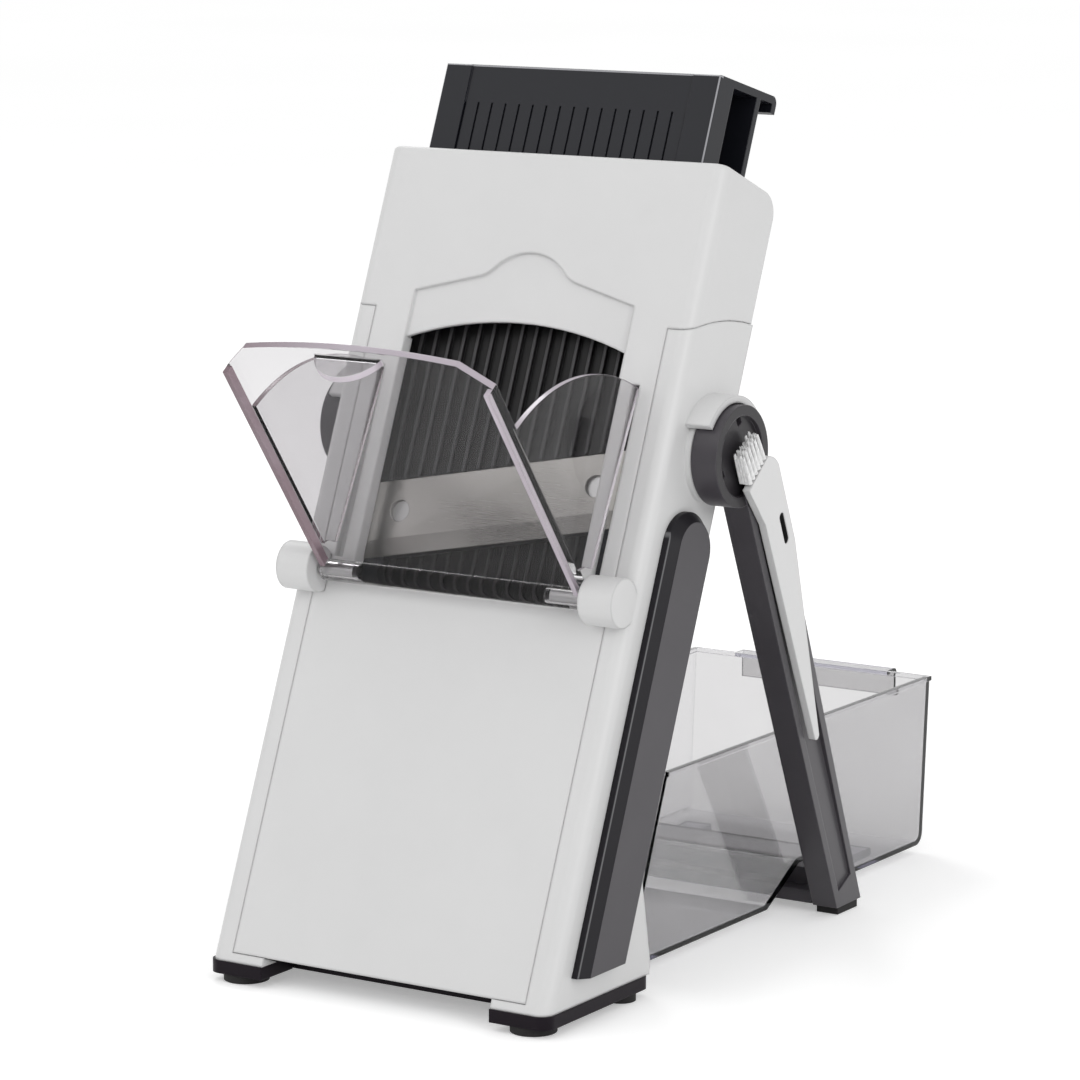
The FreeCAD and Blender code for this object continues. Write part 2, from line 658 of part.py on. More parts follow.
def mirror(source, label):
    """Make the left copy of a right-hand piece."""
    copy = doc.addObject("Part::Mirroring", label)
    copy.Label = label
    copy.Source = source
    copy.Normal = X_AXIS
    copy.Base = VECTOR(0, 0, 0)
    doc.recompute()
    return copy


def pair(source, label):
    """Make one node of a right-hand piece and its left copy."""
    group = doc.addObject("Part::Compound", label)
    group.Label = label
    group.Links = [source, mirror(source, f"{label}_copy")]
    doc.recompute()
    return group


# Housing

def cut_window(body):
    """Cut the arched food window, the wing slots and the door's recess into the front."""
    half = WINDOW_HALF
    arch = arch_radius(half, dim.window_rise)
    bay_foot = RECESS_CORNER + dim.bay_foot
    flare = dim.bay_flare_radius
    neck, neck_height = dim.bay_half - dim.bay_flare_width, bay_foot + dim.bay_flare_rise
    bay = arch_radius(neck, dim.bay_rise - dim.bay_flare_rise)
    pocket(body, "XZ_Plane", -dim.wall, dim.recess_depth, [[
        (-half, SILL), (half, SILL), (half, RECESS_CORNER), (dim.bay_half, bay_foot, flare, CW),
        (neck, neck_height, bay, CCW), (0, bay_foot + dim.bay_rise, bay, CCW),
        (-neck, neck_height, flare, CW), (-dim.bay_half, bay_foot), (-half, RECESS_CORNER)]])
    pocket(body, "XZ_Plane", -dim.wall, dim.wall * 2, [[
        (-half, SILL), (half, SILL), (half, WINDOW_SHOULDER, arch, CCW),
        (0, WINDOW_SHOULDER + dim.window_rise, arch, CCW), (-half, WINDOW_SHOULDER)]])
    low = dim.hinge_height + dim.wing_inner_radius - dim.slot_drop
    high = dim.hinge_height + dim.wing_radius + dim.slot_clearance
    slots = sides(WING_INNER - dim.slot_clearance, WING_OUTER + dim.slot_clearance)
    pocket(body, "XZ_Plane", -dim.wall, dim.wall * 2,
           [rectangle(*across, low, high) for across in slots])


def build_front_cover():
    """One moulding: the head that wraps over the top, and the front panel below it."""
    body = new_body("front_cover")
    half = HALF_WIDTH
    depth, top, crown = dim.body_depth, dim.body_height, dim.crown_radius
    pad(body, "YZ_Plane", -half, half, [[
        (0, SEAM_FRONT + dim.seam_gap, dim.seam_radius, CW), (depth, SEAM_REAR + dim.seam_gap),
        (depth, top - crown, crown, CCW), (depth - crown, top), (0, top)]])
    dress(body, "Fillet", dim.corner_radius, lambda box: (
        near(box.YMax, 0) and near(abs(box.Center.x), half)))
    dress(body, "Fillet", dim.edge_radius, lambda box: (
        near(box.ZMin, top) and box.YMin < (depth - crown).value / 2))
    panel_half = SIDE_INNER - dim.seam_gap
    pad(body, "XZ_Plane", 0, dim.wall, [rectangle(-panel_half, panel_half, dim.panel_foot, SEAM_REAR)])
    jambs = [rectangle(*across, SILL, WINDOW_SHOULDER)
             for across in sides(WINDOW_HALF, WINDOW_HALF + dim.jamb_width)]
    pad(body, "XZ_Plane", dim.wall / 2, dim.handle_front - dim.jamb_gap, jambs)
    inner_half = half - dim.wall
    pocket(body, "XY_Plane", SEAM_FRONT - dim.wall, top - dim.wall,
           [rectangle(-inner_half, inner_half, dim.wall, depth - dim.wall)])
    play = dim.handle_clearance
    opening = HANDLE_HALF + play
    pocket(body, "XY_Plane", top - dim.wall * 2, top + dim.wall, [rectangle(
        -opening, opening, dim.handle_front - play, HANDLE_BACK + play)])
    cut_window(body)
    notch = (-dim.hinge_forward, dim.hinge_height, dim.knuckle_radius + dim.seam_gap)
    for across in sides(KNUCKLE_INNER - dim.seam_gap, half):
        pocket(body, "YZ_Plane", *across, circles=[notch])
    place_on_tower(body)
    keep(body)


def round_hub(radius, angle):
    """Return a point round the leg axis in the tower's depth and height."""
    return (HUB_DEPTH + radius * cos_of(angle), HUB_HEIGHT + radius * sin_of(angle))


def add_hub(body):
    """Add the boss behind the leg's hub drum and the hood over the drum's upper half."""
    inner, outer = dim.hub_radius + dim.hood_gap, HOOD_RADIUS
    middle = dim.lean_angle + dim.hood_middle_angle
    low = middle - dim.hood_half_angle
    high = middle + dim.hood_half_angle
    pad(body, "YZ_Plane", HALF_WIDTH, BOSS_OUTER,
        circles=[(HUB_DEPTH, HUB_HEIGHT, dim.hub_radius - dim.boss_inset)])
    pad(body, "YZ_Plane", HALF_WIDTH, HUB_OUTER - dim.hood_recess, [[
        round_hub(outer, low) + (outer, CCW), round_hub(outer, middle) + (outer, CCW),
        round_hub(outer, high), round_hub(inner, high) + (inner, CW),
        round_hub(inner, middle) + (inner, CW), round_hub(inner, low)]])
    pocket(body, "YZ_Plane", HALF_WIDTH - dim.hub_pin_reach, HUB_OUTER, circles=[
        (HUB_DEPTH, HUB_HEIGHT, dim.hub_pin_radius + dim.running_clearance)])


def build_side_frame():
    """Right side frame with its heel, toe, hinge knuckle, spring shelf and hub."""
    body = new_body("side_frame_right")
    outer, inner, depth = HALF_WIDTH, SIDE_INNER, dim.body_depth
    slope = tan_of(dim.lean_angle)
    heel = depth + dim.heel_reach
    pad(body, "YZ_Plane", inner, outer, [[
        (0, 0), (heel, heel * slope), (depth + dim.heel_shoulder_reach, dim.heel_shoulder_height),
        (depth, dim.heel_top), (depth, SEAM_REAR, dim.seam_radius, CCW), (0, SEAM_FRONT)]])
    dress(body, "Fillet", dim.corner_radius, lambda box: near(box.YMax, 0) and near(box.XMin, outer))
    toe_height = dim.panel_foot - dim.seam_gap
    pad(body, "YZ_Plane", TOE_INNER, inner,
        [[(0, 0), (toe_height / slope, toe_height), (0, toe_height)]])
    axis = (-dim.hinge_forward, dim.hinge_height)
    pad(body, "YZ_Plane", KNUCKLE_INNER, KNUCKLE_OUTER, circles=[axis + (dim.knuckle_radius,)])
    pad(body, "YZ_Plane", inner - dim.shelf_length, inner, [rectangle(
        dim.spring_depth - dim.ear_height, dim.ear_back, dim.shelf_foot, dim.shelf_top)])
    pad(body, "XY_Plane", dim.shelf_top, dim.stud_top,
        circles=[(SPRING_OFFSET, dim.spring_depth, dim.stud_radius)])
    add_hub(body)
    pocket(body, "YZ_Plane", KNUCKLE_INNER - dim.wall, KNUCKLE_OUTER - dim.wall,
           circles=[axis + (dim.hinge_pin_radius + dim.running_clearance,)])
    place_on_tower(body)
    keep(body)
    keep(mirror(body, "side_frame_left"))


def build_side_trim():
    """Raised dark strip on the side, round at the top, level at the foot, bevelled in front."""
    body = new_body("side_trim_right")
    face = HALF_WIDTH + dim.trim_height
    front = dim.trim_front
    back = dim.body_depth - dim.trim_back_inset
    radius = (back - front) / 2
    top = HUB_HEIGHT - HOOD_RADIUS - dim.trim_gap
    rise = 1 / cos_of(dim.lean_angle)
    foot = [(depth, (dim.trim_floor + depth * sin_of(dim.lean_angle)) * rise) for depth in (front, back)]
    pad(body, "YZ_Plane", HALF_WIDTH, face, [[
        foot[0], foot[1], (back, top - radius, radius, CCW), (front + radius, top, radius, CCW),
        (front, top - radius)]])
    dress(body, "Chamfer", dim.trim_bevel, lambda box: (
        near(box.XMin, face) and box.YMin < (back - radius).value and box.YLength < radius.value * 1.5))
    place_on_tower(body)
    keep(body)
    keep(mirror(body, "side_trim_left"))


def build_base():
    """Base shoes, rubber foot pads and the tie between the shoes."""
    shoe = new_body("base_shoe_right")
    outer = HALF_WIDTH + dim.shoe_edge
    heel = (dim.body_depth + dim.heel_reach) / cos_of(dim.lean_angle) + dim.shoe_edge
    pad(shoe, "XY_Plane", dim.pad_height, dim.sole_height, [[
        (TOE_INNER, -dim.shoe_edge), (outer, -dim.shoe_edge), (outer, heel), (SHOE_INNER, heel),
        (SHOE_INNER, dim.shoe_toe), (TOE_INNER, dim.shoe_toe)]])
    dress(shoe, "Fillet", dim.corner_radius, lambda box: (
        near(box.ZLength, dim.sole_height - dim.pad_height) and near(box.Center.x, outer)))
    place_on_floor(shoe)
    keep(shoe)
    keep(mirror(shoe, "base_shoe_left"))
    pads = new_body("foot_pad")
    rear_radius = (outer - SHOE_INNER) / 2 - dim.shoe_edge
    pad(pads, "XY_Plane", 0, dim.pad_height, circles=[
        (outer - dim.pad_radius - dim.wall, dim.pad_radius, dim.pad_radius),
        ((SHOE_INNER + outer) / 2, heel - rear_radius * 2, rear_radius)])
    place_on_floor(pads)
    keep(pair(pads, "foot_pads"))
    tie = new_body("base_tie")
    half = SHOE_INNER - dim.tie_gap
    pad(tie, "YZ_Plane", -half, half,
        [rectangle(dim.tie_front, dim.tie_back, dim.pad_height, dim.sole_height)])
    place_on_floor(tie)
    keep(tie)


def build_guides():
    """Carriage guide rails on the side frames and the two beams of the thickness plate."""
    rail = new_body("guide_rail_right")
    pad(rail, "YZ_Plane", RAIL_INNER, SIDE_INNER,
        [rectangle(dim.rail_front, RAIL_BACK, dim.rail_foot, dim.rail_top)])
    place_on_tower(rail)
    keep(rail)
    keep(mirror(rail, "guide_rail_left"))
    for label, front, low in (("plate_beam_upper", dim.beam_front, BEAM_HIGH),
                              ("plate_beam_lower", BEAM_LOW_FRONT, dim.beam_low)):
        beam = new_body(label)
        pad(beam, "YZ_Plane", -SIDE_INNER, SIDE_INNER, [rectangle(
            front, front + dim.beam_depth, low, low + dim.beam_height)])
        place_on_tower(beam)
        keep(beam)


def build_thickness_plate():
    """Ribbed plate behind the blade that sets the slice thickness, on four posts."""
    body = new_body("thickness_plate")
    base = STOP_FRONT + dim.stop_rib
    back = base + dim.stop_base
    pad(body, "XZ_Plane", base, back, [rectangle(-STOP_HALF, STOP_HALF, dim.stop_foot, STOP_TOP)])
    radius = dim.beam_height / 2
    spot = STOP_HALF - dim.stop_post_inset
    for low, beam in ((BEAM_HIGH, dim.beam_front), (dim.beam_low, BEAM_LOW_FRONT)):
        pad(body, "XZ_Plane", base, beam,
            circles=[(spot, low + radius, radius), (-spot, low + radius, radius)])
    add_ribs(body, STOP_HALF - dim.rib_margin, dim.rib_width, STOP_FRONT, base, dim.stop_foot, STOP_TOP)
    place_on_tower(body)
    keep(body)


def x_pin(label, radius, low, high, y, z):
    """Make a round pin along X."""
    pin = doc.addObject("Part::Cylinder", label)
    pin.Label = label
    pin.Placement = FreeCAD.Placement(VECTOR(0, 0, 0), FreeCAD.Rotation(Y_AXIS, 90))
    bind(pin, "Radius", radius)
    bind(pin, "Height", high - low)
    bind(pin, "Placement.Base.x", low)
    bind(pin, "Placement.Base.y", y)
    bind(pin, "Placement.Base.z", z)
    doc.recompute()
    return pin


def build_pins():
    """Hinge pins of the door and pivot pins of the legs, one pair each."""
    hinge = x_pin("door_hinge_pin", dim.hinge_pin_radius, WING_OUTER - dim.hinge_pin_reach,
                  KNUCKLE_OUTER - dim.wall - dim.seam_gap,
                  tower_y(-dim.hinge_forward, dim.hinge_height),
                  tower_z(-dim.hinge_forward, dim.hinge_height))
    keep(pair(hinge, "door_hinge_pins"))
    pivot = x_pin("leg_pivot_pin", dim.hub_pin_radius, HALF_WIDTH - dim.hub_pin_reach,
                  PIVOT_END - dim.hub_pin_recess, HUB_Y, HUB_Z)
    keep(pair(pivot, "leg_pivot_pins"))


def build_screws():
    """Screw heads: four that hold the head cover from behind, two that hold the handle."""
    cover = new_body("cover_screw")
    back = dim.body_depth
    heights = (SEAM_REAR + dim.crown_radius, dim.body_height - dim.crown_radius * 2)
    pad(cover, "XZ_Plane", back, back + dim.screw_head,
        circles=[(SIDE_INNER, height, dim.screw_radius) for height in heights])
    place_on_tower(cover)
    keep(pair(cover, "cover_screws"))
    grip = new_body("handle_screw")
    pad(grip, "XZ_Plane", CARRIAGE_BACK, CARRIAGE_BACK + dim.screw_head, circles=[
        (PLATE_HALF - dim.rivet_inset, CARRIAGE_TOP - dim.carriage_bar, dim.screw_radius)])
    place_on_tower(grip)
    keep(pair(grip, "handle_screws"))


# Blade carriage

def slant(x):
    """Return the height of the cutting edge at a place across the tower."""
    return dim.blade_middle + x * tan_of(dim.blade_slope_angle)


def build_handle():
    """Push handle: a channel with a rear lip, plain end blocks and a ribbed front."""
    body = new_body("handle")
    front, back, wall = dim.handle_front, HANDLE_BACK, dim.handle_wall
    lip = dim.body_depth + dim.handle_lip_reach
    slope = dim.handle_rise / (lip - front)
    crest = HANDLE_TOP + dim.handle_rise
    hook = crest - dim.handle_hook
    rear_foot = HANDLE_FOOT + wall

    def under(depth):
        """Return the underside of the sloping top at a depth."""
        return HANDLE_TOP - wall + (depth - front) * slope

    pad(body, "YZ_Plane", -HANDLE_HALF, HANDLE_HALF, [[
        (front, HANDLE_FOOT), (front + wall, HANDLE_FOOT), (front + wall, under(front + wall)),
        (back - wall, under(back - wall)), (back - wall, rear_foot), (back, rear_foot),
        (back, under(back)), (lip - wall, under(lip - wall)), (lip - wall, hook), (lip, hook),
        (lip, crest - wall, wall, CCW), (lip - wall, crest - wall * slope), (front, HANDLE_TOP)]])
    dress(body, "Fillet", dim.handle_edge, lambda box: (
        near(box.YMax, front) and (near(abs(box.Center.x), HANDLE_HALF) or near(box.ZMin, HANDLE_TOP))))
    middle = HANDLE_HALF - dim.handle_block
    high = HANDLE_TOP - dim.handle_header
    face = front + dim.handle_step
    groove = face + dim.handle_recess
    pocket(body, "XZ_Plane", front - wall, face,
           [rectangle(-middle, middle, HANDLE_FOOT - wall, HANDLE_TOP + wall)])
    pocket(body, "XZ_Plane", front - wall, groove,
           [rectangle(-middle, middle, HANDLE_FOOT - wall, high)])
    add_ribs(body, middle - dim.pleat_margin, dim.pleat_width, face, groove, HANDLE_FOOT, high)
    block = [rectangle(*across, CARRIAGE_TOP + dim.block_gap, HANDLE_TOP - wall / 2)
             for across in sides(middle, HANDLE_HALF)]
    pad(body, "XZ_Plane", front + wall / 2, front + dim.block_depth, block)
    place_on_tower(body)
    keep(body)


def build_food_plate():
    """Ribbed plate above the blade, cut off along the blade's upper edge."""
    body = new_body("food_plate")
    low = slant(-PLATE_HALF)
    pad(body, "XZ_Plane", PLATE_BASE, PLATE_BACK, [rectangle(-PLATE_HALF, PLATE_HALF, low, CARRIAGE_TOP)])
    add_ribs(body, PLATE_HALF - dim.rib_margin, dim.rib_width, PLATE_FRONT, PLATE_BASE, low, CARRIAGE_TOP)
    band = dim.blade_height / cos_of(dim.blade_slope_angle) + dim.blade_gap
    reach = PLATE_HALF + dim.wall
    below = slant(-reach) - dim.blade_height
    pocket(body, "XZ_Plane", PLATE_FRONT - dim.wall, PLATE_BACK + dim.wall, [[
        (-reach, below), (reach, below), (reach, slant(reach) + band), (-reach, slant(-reach) + band)]])
    place_on_tower(body)
    keep(body)


def build_blade():
    """Slanted steel band with a ground lower edge, and its two sunk rivets."""
    body = new_body("blade")
    half, back = PLATE_HALF, PLATE_BACK
    front = back - dim.blade_thickness
    band = dim.blade_height / cos_of(dim.blade_slope_angle)
    pad(body, "XZ_Plane", front, back, [[
        (-half, slant(-half)), (half, slant(half)), (half, slant(half) + band),
        (-half, slant(-half) + band)]])
    bevel = dim.blade_bevel / cos_of(dim.blade_slope_angle)
    land = back - dim.blade_edge
    loft(body, "SubtractiveLoft", "YZ_Plane", [
        (x, [(front - dim.wall, slant(x) - dim.wall), (land, slant(x) - dim.wall),
             (land, slant(x)), (front, slant(x) + bevel), (front - dim.wall, slant(x) + bevel)])
        for x in (-half - dim.wall, half + dim.wall)])
    spots = [(x, slant(x) + dim.rivet_rise) for x in (half - dim.rivet_inset, dim.rivet_inset - half)]
    hole = dim.rivet_radius + dim.running_clearance
    pocket(body, "XZ_Plane", front - dim.wall, back, circles=[spot + (hole,) for spot in spots])
    place_on_tower(body)
    keep(body)
    rivets = new_body("blade_rivets")
    pad(rivets, "XZ_Plane", back - dim.rivet_height, back,
        circles=[spot + (dim.rivet_radius,) for spot in spots])
    place_on_tower(rivets)
    keep(rivets)


def build_carriage_frame():
    """Frame behind the blade with spring ears and runners that ride on the guide rails."""
    body = new_body("carriage_frame")
    inside = PLATE_HALF - dim.carriage_rail
    foot = dim.carriage_foot
    sill = foot + dim.carriage_bar
    pad(body, "XZ_Plane", PLATE_BACK, CARRIAGE_BACK, [
        rectangle(-PLATE_HALF, PLATE_HALF, foot, CARRIAGE_TOP),
        [(-inside, sill), (inside, sill), (inside, slant(inside)), (-inside, slant(-inside))]])
    ear = rectangle(dim.spring_depth - dim.ear_height, dim.ear_back, dim.ear_foot,
                    dim.ear_foot + dim.ear_height)
    gap = dim.runner_clearance
    deep = RAIL_BACK + gap + dim.runner_wall
    top = foot + dim.runner_height
    web = STOP_HALF + gap
    neck = SPRING_OFFSET - SPRING_REACH
    runner_front = dim.spring_depth + SPRING_REACH
    for across in sides(inside, SIDE_INNER - dim.ear_inset):
        pad(body, "YZ_Plane", *across, [ear])
    for across in sides(web, neck):
        pad(body, "YZ_Plane", *across, [rectangle(PLATE_BACK, deep, foot, top)])
    for across in sides(neck, SIDE_INNER - dim.runner_inset):
        pad(body, "YZ_Plane", *across, [rectangle(runner_front, deep, foot, top)])
    for across in sides(RAIL_INNER - gap, SIDE_INNER):
        pocket(body, "YZ_Plane", *across, [rectangle(
            dim.rail_front - gap, RAIL_BACK + gap, foot - dim.wall, top + dim.wall)])
    place_on_tower(body)
    keep(body)


def spring_path(low, high):
    """Return the wire axis of one spring: quarter-turn arcs through points of a helix."""
    turns = int(dim.spring_turns.value)
    radius = dim.spring_radius.value
    steps = 8 * turns
    rise = (high - low) / steps

    def spot(step):
        """Return the helix point after a number of eighth turns."""
        angle = 2 * math.pi * turns * step / steps
        return VECTOR(SPRING_OFFSET.value + radius * math.cos(angle),
                      dim.spring_depth.value + radius * math.sin(angle), low + rise * step)

    return Part.Wire([Part.Arc(spot(step), spot(step + 1), spot(step + 2)).toShape()
                      for step in range(0, steps, 2)])


def self_gap(path):
    """Return the least gap between the turns of a spring, measured on points of its axis."""
    per_turn = 24
    points = path.discretize(int(dim.spring_turns.value) * per_turn + 1)
    gaps = [here.distanceToPoint(there) for index, here in enumerate(points)
            for there in points[index + per_turn // 2:]]
    return min(gaps) - dim.spring_wire.value


def wire_section(path):
    """Return the many-sided outline of the spring's wire, square to the start of its path."""
    start = path.Edges[0]
    centre = start.valueAt(start.FirstParameter)
    turn = FreeCAD.Rotation(VECTOR(0, 0, 1), start.tangentAt(start.FirstParameter))
    count = int(dim.spring_sides.value)
    radius = dim.spring_wire.value / 2
    angles = [2 * math.pi * index / count for index in range(count + 1)]
    return Part.makePolygon([
        centre + turn.multVec(VECTOR(radius * math.cos(a), radius * math.sin(a), 0)) for a in angles])


def build_springs():
    """Two return springs between the shelves of the side frames and the carriage's ears."""
    margin = dim.spring_wire.value / 2 + dim.seam_gap.value
    path = spring_path(dim.shelf_top.value + margin, dim.ear_foot.value - margin)
    print(f"return spring: least gap between turns {self_gap(path):.2f} mm")
    spring = doc.addObject("Part::Feature", "return_spring")
    spring.Shape = path.makePipeShell([wire_section(path)], True, False)
    place_on_tower(spring)
    doc.recompute()
    keep(pair(spring, "return_springs"))


# Chute door

def build_door():
    """Clear chute door: crowned panel, raised rims, finger lip, barrel and two wings."""
    body = new_body("chute_door")
    back = dim.hinge_forward - dim.door_gap
    front = back - dim.door_thickness
    crown = dim.door_crown
    shoulder = dim.door_length - crown
    side_top = shoulder - dim.door_corner_height
    corner = WING_OUTER - dim.door_corner_width
    arch = arch_radius(corner, crown)
    pad(body, "XZ_Plane", front, back, [[
        (-WING_OUTER, 0), (WING_OUTER, 0), (WING_OUTER, side_top), (corner, shoulder, arch, CCW),
        (0, dim.door_length, arch, CCW), (-corner, shoulder), (-WING_OUTER, side_top)]])
    pad(body, "YZ_Plane", -WING_OUTER, WING_OUTER, circles=[(0, 0, dim.barrel_radius)])
    small, large, sweep = dim.wing_inner_radius, dim.wing_radius, dim.wing_sweep_angle

    def ray(radius, angle):
        """Return a wing point by its radius and its angle behind the panel."""
        return (radius * sin_of(angle), radius * cos_of(angle))

    wing = [ray(small, sweep), ray(large, sweep) + (large, CCW), ray(large, sweep / 2) + (large, CCW),
            (0, large), (0, small, small, CW), ray(small, sweep / 2) + (small, CW)]
    rim = rectangle(front - dim.door_rim, front + dim.door_rim / 2, 0, side_top)
    for across in sides(WING_INNER, WING_OUTER):
        pad(body, "YZ_Plane", *across, [wing])
        pad(body, "YZ_Plane", *across, [rim])
    lip = arch_radius(dim.lip_half, dim.lip_reach)
    pad(body, "XY_Plane", shoulder - dim.lip_thickness, shoulder, [[
        (-dim.lip_half, front, lip, CCW), (0, front - dim.lip_reach, lip, CCW),
        (dim.lip_half, front), (dim.lip_half, back), (-dim.lip_half, back)]])
    bore = [(0, 0, dim.hinge_pin_radius + dim.running_clearance)]
    for across in sides(WING_INNER - dim.hinge_pin_reach, WING_OUTER + dim.wall):
        pocket(body, "YZ_Plane", *across, circles=bore)
    place(body, tower_y(-dim.hinge_forward, dim.hinge_height),
          tower_z(-dim.hinge_forward, dim.hinge_height), X_AXIS, dim.door_open_angle - dim.lean_angle)
    keep(body)


# Rear legs

def leg_run(drop):
    """Return how far the leg has run inwards at a distance below its axis."""
    return (Size.of(drop) - dim.leg_start) * tan_of(dim.leg_splay_angle)


def leg_back(drop):
    """Return the back face of the leg at a distance below its axis."""
    share = (Size.of(drop) - dim.leg_start) / (LEG_END - dim.leg_start)
    return dim.leg_back_top - (dim.leg_back_top - dim.leg_back_foot) * share


def leg_section(drop):
    """Return the leg's outline at a distance below its axis."""
    run = leg_run(drop)
    return (-drop, rectangle(LEG_INNER - run, LEG_OUTER - run, -dim.leg_front, leg_back(drop)))


def channel_section(drop, depth):
    """Return the outline of the channel in the leg's outer face at a distance below the axis."""
    face = LEG_OUTER - leg_run(drop)
    rim = dim.channel_rim
    return (-drop, rectangle(face - depth, face + dim.wall, rim - dim.leg_front, leg_back(drop) - rim))


def build_leg():
    """Hub drum and tapering channelled leg with a level foot, on both sides."""
    body = new_body("leg_right")
    loft(body, "AdditiveLoft", "XY_Plane", [leg_section(dim.leg_start), leg_section(LEG_END)])
    loft(body, "SubtractiveLoft", "XY_Plane", [
        channel_section(dim.channel_start, dim.channel_depth),
        channel_section(LEG_FOOT - dim.channel_foot, dim.channel_foot_depth)])
    reach = dim.leg_back_top * 2

    def sole(depth):
        """Return the level foot in the leg's own axes."""
        return -(LEG_FALL + depth * sin_of(dim.leg_angle)) / cos_of(dim.leg_angle)

    pocket(body, "YZ_Plane", 0, LEG_OUTER + dim.wall, [[
        (-reach, -LEG_END - reach), (reach, -LEG_END - reach), (reach, sole(reach)),
        (-reach, sole(-reach))]])
    pad(body, "YZ_Plane", HUB_INNER, HUB_OUTER, circles=[(0, 0, dim.hub_radius)])
    pocket(body, "YZ_Plane", DISH_FLOOR, LEG_OUTER + dim.wall, circles=[(0, 0, dim.hub_dish_radius)])
    spot, half = dim.hub_opening_radius, dim.hub_opening_half
    pocket(body, "YZ_Plane", DISH_FLOOR - dim.hub_opening_depth, DISH_FLOOR + half, [
        rectangle(-spot - half, half - spot, -half, half),
        rectangle(spot / 2 - half, spot / 2 + half, spot - half * 2, spot)])
    pocket(body, "YZ_Plane", HUB_INNER - dim.wall, PIVOT_END,
           circles=[(0, 0, dim.hub_pin_radius + dim.running_clearance)])
    place(body, HUB_Y, HUB_Z, X_AXIS, dim.leg_angle)
    keep(body)
    keep(mirror(body, "leg_left"))


def build_leg_base():
    """Crossbar between the feet, with the upright rib that seats the tray, and the leg pads."""
    bar = new_body("leg_crossbar")
    half = LEG_INNER - leg_run(LEG_END) - dim.bar_end_gap
    back = BAR_FRONT + dim.bar_depth
    low = dim.pad_height
    seat = dim.tray_floor + dim.tunnel_rise - dim.seat_gap
    pad(bar, "YZ_Plane", -half, half, [[
        (BAR_FRONT, low), (back, low), (back, seat), (back - dim.bar_rib, seat),
        (back - dim.bar_rib, low + dim.bar_height), (BAR_FRONT, low + dim.bar_height)]])
    place(bar, HUB_Y, 0)
    keep(bar)
    foot = new_body("leg_pad")
    inner = LEG_INNER - leg_run(LEG_FOOT) + dim.leg_pad_inset
    outer = inner + dim.leg_thickness - dim.leg_pad_inset * 2
    pad(foot, "XY_Plane", 0, dim.pad_height, [rectangle(
        inner, outer, BAR_FRONT + dim.leg_pad_inset, BAR_FRONT + dim.bar_depth - dim.leg_pad_inset)])
    place(foot, HUB_Y, 0)
    keep(pair(foot, "leg_pads"))


# Catch tray, drawn from the front of the legs' crossbar

def add_tray_feet(body):
    """Add four flat feet under the tray's floor."""
    front = dim.tray_foot_margin - dim.tray_front_foot
    back = dim.tray_back_top - dim.tray_back_draft - dim.tray_heel - dim.tray_foot_margin
    outer = TRAY_HALF - dim.tray_foot_inset
    length = dim.tray_foot_length
    feet = [rectangle(*across, *along) for across in sides(outer - dim.tray_foot_width, outer)
            for along in ((front, front + length), (back - length, back))]
    pad(body, "XY_Plane", 0, dim.tray_floor + dim.tray_wall / 2, feet)


def build_tray():
    """Clear open tray with a tunnel over the legs' crossbar, a rim and a rear handle lip."""
    body = new_body("catch_tray")
    wall, low, top = dim.tray_wall, dim.tray_floor, dim.tray_top
    roof = low + dim.tunnel_rise
    heel = dim.tray_heel
    front_foot, front_top = -dim.tray_front_foot, -dim.tray_front_top
    back_top = dim.tray_back_top
    back_foot = back_top - dim.tray_back_draft
    pad(body, "YZ_Plane", -TRAY_HALF, TRAY_HALF, [[
        (front_foot, low), (-dim.tunnel_start, low), (dim.tunnel_front, roof),
        (dim.tunnel_back, roof), (dim.tunnel_end, low),
        (back_foot - heel, low, dim.tray_heel_radius, CCW), (back_foot, low + heel),
        (back_top, top), (front_top, top)]])
    inside = TRAY_HALF - wall
    lean = (front_top - front_foot) / (top - low)
    pocket(body, "YZ_Plane", -inside, inside, [[
        (front_foot + wall * (lean + 1), low + wall), (-dim.tunnel_start - wall / 2, low + wall),
        (dim.tunnel_front - wall / 2, roof + wall), (dim.tunnel_back + wall / 2, roof + wall),
        (dim.tunnel_end + wall / 2, low + wall),
        (back_foot - heel, low + wall, dim.tray_heel_radius - wall, CCW),
        (back_foot - wall, low + heel), (back_top - wall, top), (back_top - wall, top + wall),
        (front_top + wall * (lean + 1), top + wall), (front_top + wall, top)]])
    rim = dim.rim_width
    pad(body, "XY_Plane", top - dim.rim_height, top, [
        rectangle(-TRAY_HALF - rim, TRAY_HALF + rim, front_top - rim, back_top + rim),
        rectangle(-inside, inside, front_top + wall, back_top - wall)])
    reach = back_top + dim.tray_lip_reach
    half = TRAY_HALF - dim.tray_lip_inset
    pad(body, "YZ_Plane", -half, half, [[
        (back_top, top - dim.rim_height), (reach - wall, top - dim.rim_height),
        (reach - wall, top - dim.tray_lip_drop), (reach, top - dim.tray_lip_drop),
        (reach, top - wall, wall, CCW), (reach - wall, top), (back_top, top)]])
    add_tray_feet(body)
    place(body, HUB_Y + BAR_FRONT, 0)
    keep(body)


# Cleaning brush

def place_on_leg_face(item):
    """Place an object drawn in the right leg's axes with X square to its splayed outer face."""
    turn = FreeCAD.Rotation(X_AXIS, dim.leg_angle.value)
    turn = turn.multiply(FreeCAD.Rotation(Y_AXIS, dim.leg_splay_angle.value))
    item.Placement = FreeCAD.Placement(VECTOR(0, HUB_Y.value, HUB_Z.value), turn)


